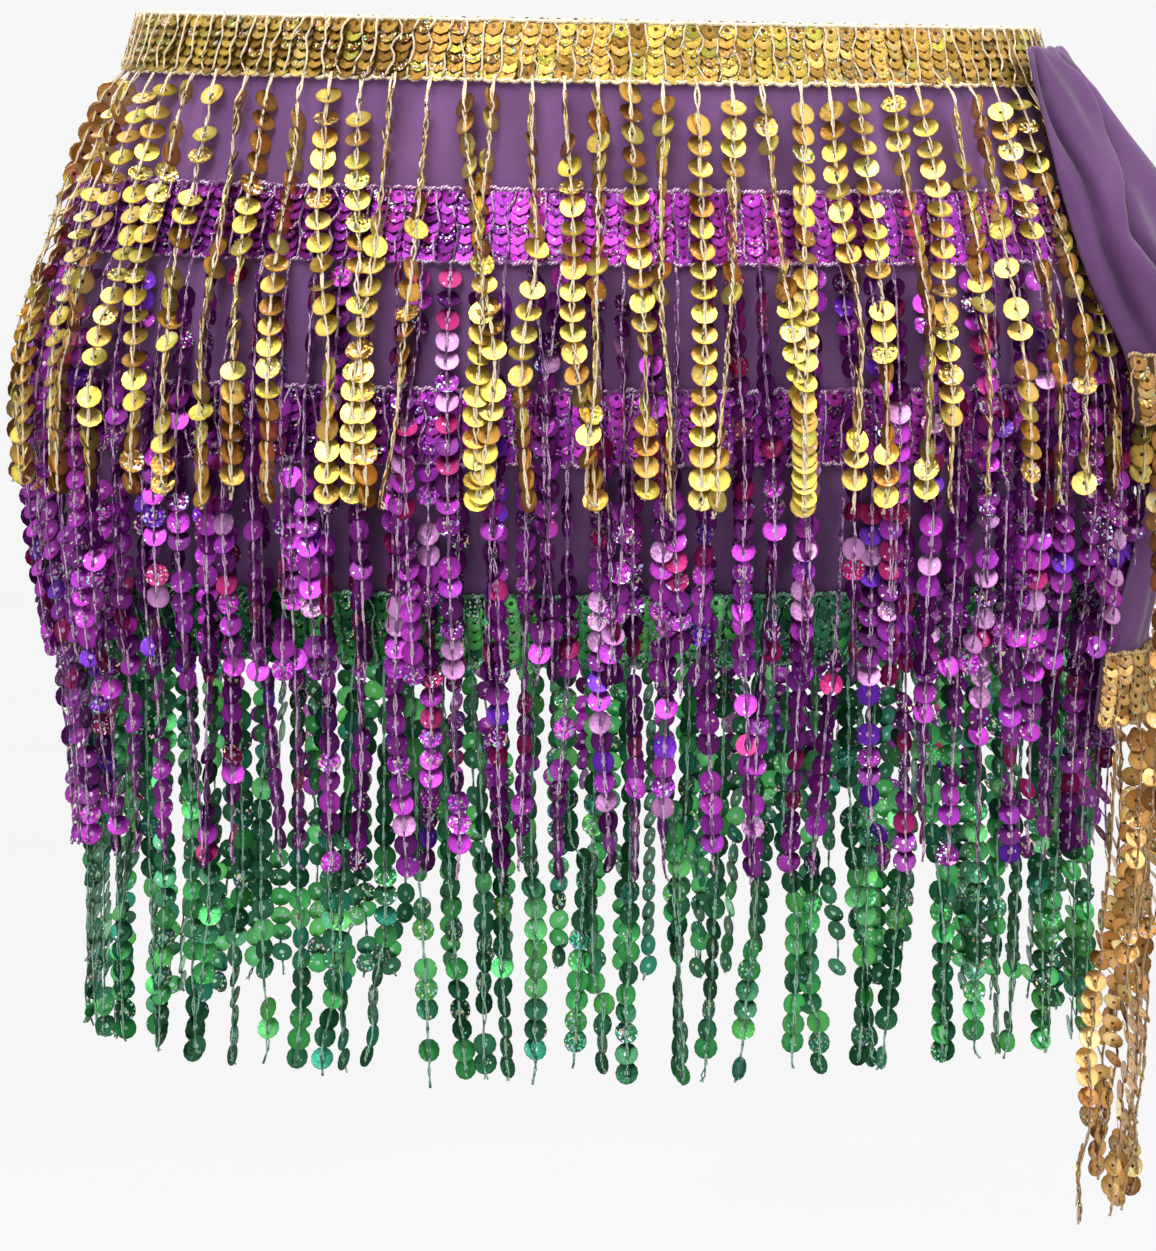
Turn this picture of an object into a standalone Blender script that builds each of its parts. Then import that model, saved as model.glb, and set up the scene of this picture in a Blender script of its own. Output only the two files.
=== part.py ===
"""A sequinned belly dance hip scarf as worn: a sheer wrap round the hips, four fringed sequin trims
sewn on it in tiers, and its two tie ends knotted at the wearer's left hip. No wearer is built.

Metres, +Z up. The wearer faces -Y and their left hip is at +X. The origin is the middle of the waist
opening, level with the wrap's top edge. Sizes below are in millimetres.
"""

import functools
import math
import random
from collections import namedtuple

import bmesh
import bpy
import numpy as np

MM = 0.001

# Driving sizes of the wrap
CLOTH = 1.2
SEAM = 0.35
TRIM = 1.4
TRIM_HEIGHT = 22.5
GOLD_TRIM_HEIGHT = 18.5
FRINGE = 143.0
HEM_Z = -213.0
HIP_Z = -131.0
SLIT_AT_WAIST = 4.0
SLIT_AT_HEM = 20.0
WAIST_DIP = 2.8
HEM_WAVE = 1.4
HEM_WAVES = 8
WRAP_COLUMNS = 64

# Each trim carries this many strands, drawn as flat ribbons of overlapping sequins.
STRANDS = 57
STRAND_WIDTH = 7.4
STRAND_ROWS = 4
STRAND_SWAY = 1.6
STRAND_UNEVEN = 5.0
STRAND_LEAN = 0.45

# A general hip form: half the width at the sides, and how far it reaches forwards and back.
Section = namedtuple("Section", "z half_width front back")
SECTIONS = (
    Section(HEM_Z, 172, 109, 115),
    Section(-175, 182, 116, 123.5),
    Section(HIP_Z, 188.5, 120, 127),
    Section(-85, 182, 115.5, 123),
    Section(-50, 171, 109.5, 117),
    Section(-20, 158, 104, 110),
    Section(0, 152, 101, 105),
)

# Where each trim sits, and how far its strands stand off the hip form at a few heights, so that an
# upper tier passes over the trims and strands below it.
Lift = namedtuple("Lift", "z out")
Tier = namedtuple("Tier", "name finish top height end_margin lifts")
ON_CLOTH = CLOTH + SEAM
TIERS = (
    Tier("gold_fringe_trim", "gold_sequin", -0.8, GOLD_TRIM_HEIGHT, 10,
         (Lift(-175, 8.2), Lift(-118, 8.0), Lift(-85, 5.4), Lift(-48, 4.4), Lift(-22, ON_CLOTH))),
    Tier("upper_purple_fringe_trim", "purple_sequin", -56.5, TRIM_HEIGHT, 3,
         (Lift(-240, 5.8), Lift(-165, 5.4), Lift(-115, 4.5), Lift(-82, ON_CLOTH))),
    Tier("lower_purple_fringe_trim", "purple_sequin", -122, TRIM_HEIGHT, 3,
         (Lift(-300, 3.6), Lift(-180, 3.6), Lift(-146, ON_CLOTH))),
    Tier("green_fringe_trim", "green_sequin", HEM_Z + TRIM_HEIGHT + 0.5, TRIM_HEIGHT, 3,
         (Lift(-400, ON_CLOTH), Lift(HEM_Z, ON_CLOTH))),
)

# A tie tail, row by row from the knot to its end. middle and width run round the hip from the slit, towards
# the front; edge is how far its two long edges stand off the hip form, dome how much further its middle
# stands, and fold how deep its lengthwise folds are. Its trim lies on its last step.
TailRow = namedtuple("TailRow", "z middle width edge dome fold")
Tail = namedtuple("Tail", "name fringe lean rows")
TAIL_STRANDS = 11
TAIL_FOLDS = 2.5
FRONT_TAIL = Tail("front_tie_tail", FRINGE, 0.0, (
    TailRow(-20, 15, 20, 7.2, 0.5, 0.3),
    TailRow(-13, 18, 24, 7.6, 1.0, 0.5),
    TailRow(-9, 24, 34, 9.5, 1.5, 0.8),
    TailRow(-13, 26, 40, 11.5, 2.5, 1.2),
    TailRow(-24, 27.5, 45, 12.5, 5, 2.0),
    TailRow(-40, 26, 58, 12.5, 11, 3.0),
    TailRow(-58, 23, 70, 12.5, 15, 3.8),
    TailRow(-84, 19.5, 79, 13, 16, 4.4),
    TailRow(-112, 10.5, 77, 14.5, 15, 3.8),
    TailRow(-134.5, 7, 78, 15.5, 15, 3.4),
))
BACK_TAIL = Tail("back_tie_tail", 171.0, 10.0, (
    TailRow(-33.6, -8, 14, 9.2, 1, 0.4),
    TailRow(-50, -9, 14, 7.2, 1.5, 0.8),
    TailRow(-66, -6, 18, 7.6, 2, 1.2),
    TailRow(-100, -5, 28, 10.6, 3, 1.8),
    TailRow(-134, -3, 36, 12.6, 3.5, 2.2),
    TailRow(-172, 2, 50, 14.5, 4, 2.6),
    TailRow(-206, 4, 64, 18.2, 4, 3.0),
    TailRow(-217.5, 5, 72, 19.2, 4, 2.8),
    TailRow(-240, 6, 80, 19.6, 4, 2.6),
))

# The knot, as rings going outwards from the slit: where its middle is round the hip and up, and half its
# size each way.
KnotRing = namedtuple("KnotRing", "out middle z half_round half_high")
KNOT = (
    KnotRing(1.9, 0, -11, 6.5, 7.5),
    KnotRing(4.4, -2, -13, 7.5, 8.5),
    KnotRing(7.0, -5, -18, 10, 10.5),
    KnotRing(9.5, -8, -21, 11.5, 12),
    KnotRing(12.0, -8, -21, 11.5, 12),
    KnotRing(14.0, -8, -21, 9, 9.5),
    KnotRing(15.2, -8, -21, 4.5, 5),
)
KNOT_SIDES = 20

Finish = namedtuple("Finish", "colour roughness metallic")
FINISHES = {
    "purple_mesh": Finish((0.20, 0.08, 0.25), 0.7, 0.0),
    "purple_chiffon": Finish((0.22, 0.09, 0.27), 0.6, 0.0),
    "gold_sequin": Finish((0.80, 0.55, 0.12), 0.3, 0.8),
    "purple_sequin": Finish((0.36, 0.03, 0.42), 0.3, 0.7),
    "green_sequin": Finish((0.04, 0.28, 0.10), 0.3, 0.7),
}


def smooth_row(rows, place):
    """The values of a table at a place between its rows, on a smooth curve through them. Column 0 rises."""
    places = [row[0] for row in rows]
    place = min(max(place, places[0]), places[-1])
    after = min(int(np.searchsorted(places, place, side="right")), len(rows) - 1)
    low, high = np.array(rows[after - 1], float), np.array(rows[after], float)
    before = np.array(rows[max(after - 2, 0)], float)
    beyond = np.array(rows[min(after + 1, len(rows) - 1)], float)
    span = high[0] - low[0]
    share = (place - low[0]) / span
    slope_low = (high - before) / (high[0] - before[0]) * span
    slope_high = (beyond - low) / (beyond[0] - low[0]) * span
    square, cube = share**2, share**3
    return (
        (2 * cube - 3 * square + 1) * low
        + (cube - 2 * square + share) * slope_low
        + (3 * square - 2 * cube) * high
        + (cube - square) * slope_high
    )


@functools.lru_cache(maxsize=None)
def hip_ring(z):
    """The hip form's outline at a height: its half axes, and the distance round it at each angle.

    Angle 0 is the wearer's left hip, and a quarter turn on is the front.
    """
    _, half_width, front, back = smooth_row(SECTIONS, z)
    angles = np.linspace(0, 2 * math.pi, 721)
    depth = np.where(np.sin(angles) > 0, front, back)
    steps = np.hypot(np.diff(half_width * np.cos(angles)), np.diff(depth * np.sin(angles)))
    return half_width, front, back, angles, np.concatenate(([0], np.cumsum(steps)))


def hip_point(distance, z, out):
    """A point off the hip form: its distance round from the slit, its height, and how far it stands out."""
    half_width, front, back, angles, lengths = hip_ring(round(z, 3))
    angle = np.interp(distance % lengths[-1], lengths, angles)
    depth = front if math.sin(angle) > 0 else back
    x, y = half_width * math.cos(angle), -depth * math.sin(angle)
    normal = np.array((x / half_width**2, y / depth**2))
    x, y = np.array((x, y)) + out * normal / np.hypot(*normal)
    fade = 1 - min(-z / -HEM_Z, 1)
    return np.array((x, y, z - WAIST_DIP * fade * x / half_width))


def slit_width(z):
    return SLIT_AT_WAIST + (SLIT_AT_HEM - SLIT_AT_WAIST) * min(z / HEM_Z, 1)


def hem_wave(share, z):
    """How far the loose cloth under the hips stands out at a share of the way round."""
    ramp = min(max((HIP_Z - z) / (HIP_Z - HEM_Z), 0), 1)
    return HEM_WAVE * ramp * math.sin(2 * math.pi * HEM_WAVES * share)


def wrap_point(share, z, out):
    """A point off the wrap's inner face, at a share of the way from its front edge round to its back edge."""
    round_it = hip_ring(round(z, 3))[-1][-1]
    slit = slit_width(z)
    distance = slit / 2 + share * (round_it - slit)
    return hip_point(distance, z, out + hem_wave(share, z))


def grid_sheet(name, points, finish, thickness, keep=None):
    """A grid with its corners on rows of points, given a thickness on its outer side. Where keep says, a
    cell stays."""
    rows, columns = len(points) - 1, len(points[0]) - 1
    bm = bmesh.new()
    bmesh.ops.create_grid(bm, x_segments=columns, y_segments=rows, size=1)
    if keep:
        cells = [(face, *grid_place(face.calc_center_median(), columns, rows)) for face in bm.faces]
        dropped = [face for face, column, row in cells if not keep(int(column), int(row))]
        bmesh.ops.delete(bm, geom=dropped, context="FACES")
    for vert in bm.verts:
        column, row = grid_place(vert.co, columns, rows)
        vert.co = points[round(row)][round(column)] * MM
    bmesh.ops.reverse_faces(bm, faces=bm.faces)
    obj = object_from(bm, name, finish)
    wall = obj.modifiers.new("Wall", "SOLIDIFY")
    wall.thickness = thickness * MM
    wall.offset = 1
    return obj


def grid_place(point, columns, rows):
    """Where a point of a square grid that reaches from -1 to 1 lies, in columns across and rows down."""
    return (point.x + 1) / 2 * columns, (1 - point.y) / 2 * rows


def object_from(bm, name, finish):
    mesh = bpy.data.meshes.new(name)
    bm.to_mesh(mesh)
    bm.free()
    mesh.shade_smooth()
    mesh.set_sharp_from_angle(angle=math.radians(40))
    mesh.materials.append(materials()[finish])
    obj = bpy.data.objects.new(name, mesh)
    scarf().objects.link(obj)
    return obj


@functools.lru_cache(maxsize=None)
def scarf():
    collection = bpy.data.collections.new("hip_scarf")
    bpy.context.scene.collection.children.link(collection)
    return collection


@functools.lru_cache(maxsize=None)
def materials():
    made = {}
    for name, finish in FINISHES.items():
        material = bpy.data.materials.new(name)
        material.use_nodes = True
        surface = material.node_tree.nodes["Principled BSDF"]
        surface.inputs["Base Color"].default_value = (*finish.colour, 1)
        surface.inputs["Roughness"].default_value = finish.roughness
        surface.inputs["Metallic"].default_value = finish.metallic
        made[name] = material
    return made


def wrap_heights():
    """The heights of the wrap's rows: its own two edges, those of its trims, and one between each pair."""
    heights = [0]
    for upper, lower in zip(TIERS, TIERS[1:]):
        bottom = upper.top - upper.height
        heights += [bottom, (bottom + lower.top) / 2, lower.top]
    return [*heights, HEM_Z]


def wrap():
    """The sheer cloth, open at the slit, from the waist over the hips to its hem."""
    points = [
        [wrap_point(column / WRAP_COLUMNS, z, 0) for column in range(WRAP_COLUMNS + 1)]
        for z in wrap_heights()
    ]
    return grid_sheet("wrap_cloth", points, "purple_mesh", CLOTH)


def strand_columns(strands, half_width):
    """Where the two sides of each strand are, as shares of a trim, between its two ends."""
    middles = [(strand + 0.5) / strands for strand in range(strands)]
    return [0, *(middle + side for middle in middles for side in (-half_width, half_width)), 1]


def strand_of(column, strands):
    """The strand that a column of a comb belongs to, or the end one for the ends of its trim."""
    return min(max((column - 1) // 2, 0), strands - 1)


def comb_cells(column, row):
    """Says which cells of a grid make a comb: a whole row for its trim, then only its strands."""
    return row < 1 or column % 2 == 1


def tier_lift(tier, z):
    """How far a tier's strands stand off the wrap's inner face at a height."""
    rising = sorted(tier.lifts)
    return float(np.interp(z, [lift.z for lift in rising], [lift.out for lift in rising]))


def strand_line(start, drop_to, place):
    """Points of a strand from its root down. It follows what it lies on, and once that curves in under it,
    leans in only part of the way."""
    points = [place(start)]
    for step in range(1, STRAND_ROWS + 1):
        point = place(start + (drop_to - start) * step / STRAND_ROWS)
        if np.hypot(*point[:2]) < np.hypot(*points[-1][:2]):
            point[:2] = STRAND_LEAN * point[:2] + (1 - STRAND_LEAN) * points[-1][:2]
        points.append(point)
    return points


def fringe_trim(tier):
    """One sequin trim round the wrap with its strands: a comb whose back is the trim."""
    chance = random.Random(tier.name)
    bottom = tier.top - tier.height
    round_it = hip_ring(round(bottom, 3))[-1][-1]
    end_share = tier.end_margin / round_it
    columns = strand_columns(STRANDS, STRAND_WIDTH / 2 / round_it)
    sways = [chance.uniform(-1, 1) * STRAND_SWAY / round_it for _ in range(STRANDS)]
    ends = [bottom - FRINGE + chance.uniform(-1, 1) * STRAND_UNEVEN for _ in range(STRANDS)]
    lines = []
    for column, share in enumerate(columns):
        strand = strand_of(column, STRANDS)

        def place(z):
            fall = (z - bottom) / (ends[strand] - bottom)
            sway = sways[strand] * math.sin(2.4 * math.pi * fall + strand)
            along = end_share + share * (1 - 2 * end_share) + sway
            below_hem = min(z - HEM_Z, 0)
            return wrap_point(along, max(z, HEM_Z), tier_lift(tier, z)) + (0, 0, below_hem)

        lines.append([place(tier.top), *strand_line(bottom, ends[strand], place)])
    return grid_sheet(tier.name, list(zip(*lines)), tier.finish, TRIM, comb_cells)


def tail_point(row, across):
    """A point of a tie tail's row, across it from 0, its back edge, to 1."""
    side = 2 * across - 1
    wave = row.fold / 2 * math.cos(2 * math.pi * TAIL_FOLDS * across)
    out = row.edge + row.dome * (1 - side**2) + wave
    return hip_point(row.middle + row.width / 2 * side, row.z, out)


def tail_columns():
    return strand_columns(TAIL_STRANDS, 0.25 / TAIL_STRANDS)


def tie_tail(tail):
    """A tie end of the wrap, falling from the knot in lengthwise folds."""
    points = [[tail_point(row, across) for across in tail_columns()] for row in tail.rows]
    return grid_sheet(tail.name, points, "purple_chiffon", CLOTH)


def tail_fringe_trim(tail):
    """The gold trim across a tail's end, made from the tail's points moved out, with strands that hang
    from it and lean in."""
    chance = random.Random(tail.name)
    drops = [tail.fringe + chance.uniform(-1, 1) * STRAND_UNEVEN for _ in range(TAIL_STRANDS)]
    trim = [[tail_point(row, across) for across in tail_columns()] for row in tail.rows[-2:]]
    trim = moved_out(trim, ON_CLOTH)
    points = list(trim)
    for step in range(1, STRAND_ROWS + 1):
        share = step / STRAND_ROWS
        row = []
        for column, root in enumerate(trim[-1]):
            inwards = -root[:2] / np.hypot(*root[:2]) * tail.lean * share**1.5
            row.append(root + (*inwards, -drops[strand_of(column, TAIL_STRANDS)] * share))
        points.append(row)
    return grid_sheet(tail.name + "_fringe_trim", points, "gold_sequin", TRIM, comb_cells)


def moved_out(points, out):
    """Rows of points, moved straight out of the face that they span."""
    grid = np.array(points)
    across = np.gradient(grid, axis=1)
    down = np.gradient(grid, axis=0)
    normal = np.cross(down, across)
    return grid + out * normal / np.linalg.norm(normal, axis=2, keepdims=True)


def knot():
    """The two tie ends knotted over the slit, as a plump form that narrows to the wrap's corners."""
    bm = bmesh.new()
    rings = []
    for ring in KNOT:
        made = bmesh.ops.create_circle(bm, segments=KNOT_SIDES, radius=1)["verts"]
        for vert in made:
            along, z = ring.middle + ring.half_round * vert.co.x, ring.z + ring.half_high * vert.co.y
            vert.co = hip_point(along, z, ring.out) * MM
        rings.append(made)
    loops = list(bm.edges)
    for first, second in zip(rings, rings[1:]):
        both = set(first) | set(second)
        bmesh.ops.bridge_loops(bm, edges=[edge for edge in loops if both.issuperset(edge.verts)])
    for ring in (rings[0], rings[-1]):
        bmesh.ops.contextual_create(bm, geom=ring)
    bmesh.ops.recalc_face_normals(bm, faces=bm.faces)
    return object_from(bm, "tie_knot", "purple_chiffon")


def main():
    for obj in list(bpy.data.objects):
        bpy.data.objects.remove(obj)
    wrap()
    for tier in TIERS:
        fringe_trim(tier)
    knot()
    for tail in (FRONT_TAIL, BACK_TAIL):
        tie_tail(tail)
        tail_fringe_trim(tail)


main()
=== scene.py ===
"""The looks of a sequinned belly dance hip scarf, tied as it is worn round the hips.

A sheer purple wrap carries four tiers of sequin trim, each with a fringe of sequin strands, and its two
ends are knotted at the wearer's left hip. Sizes are in millimetres, and meshes are made in metres. The
wearer faces -Y with their left hip at +X, and the waist's top edge is at z = 0.
"""

import math
from collections import namedtuple

import bmesh
import bpy
import numpy as np
from mathutils import Matrix, Vector

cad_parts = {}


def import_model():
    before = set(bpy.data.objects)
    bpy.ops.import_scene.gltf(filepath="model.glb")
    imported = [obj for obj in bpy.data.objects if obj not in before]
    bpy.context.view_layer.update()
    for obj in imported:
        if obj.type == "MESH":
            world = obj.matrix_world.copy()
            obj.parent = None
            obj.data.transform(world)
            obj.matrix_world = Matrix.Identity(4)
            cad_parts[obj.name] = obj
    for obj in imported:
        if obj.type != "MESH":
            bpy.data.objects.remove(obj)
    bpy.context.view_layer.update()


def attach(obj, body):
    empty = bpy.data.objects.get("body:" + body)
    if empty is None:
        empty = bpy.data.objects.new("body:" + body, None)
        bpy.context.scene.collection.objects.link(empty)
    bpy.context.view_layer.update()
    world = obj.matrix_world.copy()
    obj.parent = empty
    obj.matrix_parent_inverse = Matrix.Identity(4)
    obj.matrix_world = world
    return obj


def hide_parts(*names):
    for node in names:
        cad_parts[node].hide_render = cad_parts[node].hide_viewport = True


MM = 0.001
SEED = 7
TAIL_SEED = SEED + 10

# The wrap's form, as its solid has it
HEM_Z = -213.0
HIP_Z = -131.0
TRIM_HEIGHT = 22.5
GOLD_TRIM_HEIGHT = 18.5
SLIT_AT_WAIST, SLIT_AT_HEM = 4.0, 20.0
WAIST_DIP = 2.8
HEM_WAVE, HEM_WAVES = 1.4, 8
Section = namedtuple("Section", "z half_width front back")
SECTIONS = (
    Section(HEM_Z, 172, 109, 115),
    Section(-175, 182, 116, 123.5),
    Section(HIP_Z, 188.5, 120, 127),
    Section(-85, 182, 115.5, 123),
    Section(-50, 171, 109.5, 117),
    Section(-20, 158, 104, 110),
    Section(0, 152, 101, 105),
)

# Sequins and threads, as radii and as spacings
STRAND_SEQUIN = {"gold": 4.4, "purple": 4.05, "green": 4.0, "bronze": 4.05}
STRAND_SEQUIN_SIDES = 12
CUPPED = 0.35
STRAND_PITCH = 6.8
ROOT_DEPTH = 1.5
FIRST_SEQUIN = 7.0
STRAND_END = 5.0
STRAND_LENGTH = 143.0
STRAND_LEAN = 0.55
LEAN_STEP = 36.0
TRIM_SEQUIN = 3.3
TRIM_SEQUIN_SIDES = 8
SEQUIN_THICK = 0.3
SHARP = math.radians(35)
NEARLY_UPRIGHT = 0.3
TRIM_PITCH = 6.1
TRIM_ROW = 3.2
THREAD = {"cream": 0.46, "lilac": 0.33, "leaf": 0.33, "ochre": 0.42}
PLY_STEPS = 3
PLY_TURN = 12.0
YARN_TURN = 2.6
EDGING = 0.66
STITCH = 0.36
LOOP_PITCH = 4.2
TAPE = 0.5
TRIM_SEQUIN_HEIGHT = 1.0
ON_CLOTH = 1.55
THREAD_PROUD = 1.5

# How a fringe's sequins hang: the share of runs turned aside and how far in degrees, how much their faces
# tip up, the share that glitters, how many of the map's columns have the bright shades of faces turned to
# the light (the darker columns after them are painted shade), the share of darker ones among those that
# face out, and the share of sequins that are missing
Hang = namedtuple("Hang", "turned least most tip glitter bright shaded missing")
HANGS = {
    "gold": Hang(0.46, 50, 90, 30, 0.14, 10, 0.12, 0.05),
    "purple": Hang(0.58, 34, 84, 22, 0.18, 9, 0.34, 0.09),
    "green": Hang(0.72, 32, 66, 15, 0.12, 7, 0.35, 0.06),
    "bronze": Hang(0.50, 35, 80, 20, 0.15, 9, 0.20, 0.04),
}
RUN_LENGTHS = (2, 9)
BARE_ENDS = 0.25
# Sequins turned further aside than this take the darker shades, painted shade, at this share
TURNED_ASIDE = math.radians(27)
PAINTED_SHADE_ASIDE = 0.86
OF_ITS_STRAND = 0.3
FACED_FRONT = 2.6
SIDE_TIP = math.radians(15)

# How a trim's sequins lie at shares of the way round the wrap: how many degrees they turn aside and tip
# their faces up, and how many are bright, taking the looks that carry painted light and shade. They lie
# flat for a stretch, and lean like rope elsewhere.
TRIM_LIES = (
    (0.00, 14, 24, 0), (0.05, 14, 24, 0), (0.075, 3, 8, 0.5), (0.17, 0, 8, 0.6),
    (0.20, 0, 8, 0), (0.27, 5, 9, 0), (0.33, 11, 20, 0.1), (0.38, 6, 26, 0.7),
    (0.42, 0, 28, 1), (0.50, -8, 27, 1),
    (0.56, 0, 28, 1), (0.64, 12, 25, 0.5), (0.70, 2, 8, 0), (0.84, -2, 8, 0),
    (0.90, 18, 24, 0), (1.00, 14, 24, 0),
)
TAIL_LIES = ((0, 16, 14, 1), (1, 16, 14, 1))
FLAT_TIP, ROPE_TIP = 8, 23
LIKE_ITS_COLUMN, LIKE_THE_LAST_COLUMN = 0.6, 0.5
# How far the stitching stands off the tape, where the sequins lie flat and where they lean
STITCH_PROUD, ROPE_STITCH_PROUD = 1.4, 3.1
STITCH_STEPS, STITCH_STRAY = 9, 1.5
# How far a trim's sequins stray from their columns in millimetres, how many degrees its columns and each
# sequin in them are turned, and how many its sequins are tipped
COLUMN_STRAY, COLUMN_TURN, OWN_TURN, OWN_TIP = 0.25, 4, 3, 4
# A looped edge: the steps of a loop, how long it is and how far back it starts in shares of its spacing,
# how high it rises and how far in it starts, and how far its ends and its middle stand off the tape
LOOP_STEPS = 6
LOOP_LONG, LOOP_BACK = 1.25, 0.12
LOOP_RISE, LOOP_SUNK = (0.7, 1.5), 0.3
LOOP_PROUD, LOOP_ARCH, ARCH_SPREAD = 0.8, 0.9, (0.4, 1)
# The columns of the sequin map that trims draw on, where they are plain and where they are bright: gold's
# bright set holds lighter shades, painted light, and purple's and green's mix in darker shades, painted
# shade
TRIM_LOOKS = {
    "gold": ((0, 1, 2, 3, 4, 7, 8, 9, 10), (0, 2, 4, 5, 6, 11, 12, 13, 12, 14, 15)),
    "purple": (range(0, 7), (0, 1, 4, 5, 6, 9, 10, 12)),
    "green": (range(0, 11), (0, 2, 7, 8, 9, 11, 12)),
    "bronze": (range(0, 14), range(0, 14)),
}
# How strands stray sideways as a share of their spacing, how far they bend on the way and in how many
# half waves, and their kinks from sequin to sequin. How often and how far neighbours swing together, and
# where on their way down and over how much of it.
STRAND_WANDER = 0.42
BEND, BEND_WAVES, KINK = 0.5, 2.2, 0.5
SWING_TOGETHER, SWING = 0.4, (0.15, 0.36)
MEETING_PLACE, MEETING_REACH = (0.35, 1.0), (0.15, 0.35)
# How unevenly strands are rooted and stand out, how near a turned sequin's middle may come to what lies
# behind it, beyond its own depth, and the room behind a strand that hangs free
ROOT_SPREAD = 0.10
FRONT_PITCH, BACK_PITCH = 0.96, 1.05
ROOT_DROP, BEAD_SPREAD = 1.2, 0.5
LIFT_SPREAD = 0.9
NEAREST = 1.9
FREE_ROOM = 50.0
# How far in degrees sequins that face out are turned, and any sequin strays from its run and from its tip,
# and how far the threads reach past the last sequin
FACING_SPREAD, RUN_SPREAD, TIP_SPREAD = 14, 7, 8
THREAD_TIP = (2, 6)
# How soon sequins count as round the side, and the share of their tip that they keep when edge on
SIDE_SOON, EDGE_ON_TIP = 1.6, 0.2
# How evenly two plies turn, how far apart they are when closed and how much further when they part, how
# much of the way they are parted, and how flat they lie
PLY_SPEED = (0.75, 1.25)
PLY_CLOSED, PLY_PARTED, PARTED_OFTEN, PARTED_MOST, PLY_FLAT = 0.75, 0.9, 2.2, 1.3, 0.6
THREAD_STRAY, TIP_STRAY = 0.25, 1.0

# The camera, in metres and degrees, as the photo was taken
CAMERA_PLACE = (-0.0035, -2.1, 0.0)
CAMERA_PITCH = 5.74
CAMERA_LENS = 172.7

# The studio's brightness by height, from straight below to straight above, and its soft lamps
BACKDROP = (0.930, 0.930, 0.930)
FLOOR_GLOW = 0.761
FLOOR_COLOURS = ((0.11, 0.11, 0.11), (0.13, 0.13, 0.13))
FLOOR_REACH, FLOOR_Z = 60, -0.95
STUDIO = ((0.0, 0.35), (0.48, 0.35), (0.70, 0.40), (0.86, 1.35), (1.0, 1.8))
LAMPS = (
    ("key light", (-0.7, -1.7, 1.5), (0, 0, -0.2), 1.3, 24),
    ("top light", (0.1, -0.4, 1.9), (0, 0, -0.2), 1.5, 18),
    ("side light", (1.6, -1.0, 0.7), (0, 0, -0.2), 0.8, 7),
    ("back light", (-0.4, 1.9, 1.3), (0, 0, -0.2), 1.2, 18),
)

# Each tier: the node that it stands for, its place, how many strands hang from it, and how far out of the
# hip form their middles stand at rising heights, over whatever lies under them there
Tier = namedtuple("Tier", "name node top height end_margin strands colours thread lifts")
TIERS = (
    Tier("gold", "gold_fringe_trim", -0.8, GOLD_TRIM_HEIGHT, 10, 73, "gold", "cream",
         ((-170, 12), (-118, 11.6), (-90, 9.4), (-79, 7.6), (-58, 6.8),
          (-50, 5.4), (-27, 4.6), (-19, 3.0))),
    Tier("upper_purple", "upper_purple_fringe_trim", -56.5, TRIM_HEIGHT, 3, 99, "purple", "lilac",
         ((-240, 9), (-160, 8.8), (-146, 7.4), (-124, 6.6), (-116, 5.6),
          (-87, 4.6), (-79, 3.0))),
    Tier("lower_purple", "lower_purple_fringe_trim", -122, TRIM_HEIGHT, 3, 83, "purple", "lilac",
         ((-300, 5.8), (-212, 6.4), (-192, 6.4), (-186, 5.0), (-152, 4.6),
          (-144, 3.0))),
    Tier("green", "green_fringe_trim", HEM_Z + TRIM_HEIGHT + 0.5, TRIM_HEIGHT, 3, 84, "green", "leaf",
         ((-400, 2.6), (-221, 3.4), (-212, 3.0))),
)

# The sequin map's cells: a column for each sixteenth of the shades, a row for each way to catch the light.
# The last rows glitter, with steeper facets and more painted glints.
LOOK_COLUMNS, LOOK_ROWS, SHINY_ROWS = 16, 8, 2
CELL_FILL = 0.94
# The film: how wide its facets are across a cell and how steep, how steep they are in plain rows, how
# strong its painted glints are, how often they show and in how strong a colour, how cells vary, and the
# painted shade at the rim and the painted highlight in the dish
FACET, FACET_TILT, PLAIN_TILT = 0.085, 0.55, 0.2
PAINTED_GLINTS, PLAIN_PAINTED_GLINTS, SHINY_PAINTED_GLINTS, PAINTED_GLINT_SATURATION = 0.8, 0.02, 0.17, 0.55
CELL_DARKEST, CELL_SPREAD = 0.70, 0.5
RIM_START, RIM_PAINTED_SHADE = 0.91, 0.28
DISH_PAINTED_HIGHLIGHT, DISH_PAINTED_SHADE = 1.20, 0.35
# The sizes of the middle spot: a strand's dark hole, the painted glint of green and purple strand sequins,
# and a trim's dark hole
STRAND_HOLE, PAINTED_GLINT_SIZE, TRIM_HOLE = 0.16, 0.21, 0.24
STRAND_ROUGHNESS, TRIM_ROUGHNESS = 0.32, 0.36

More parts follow.
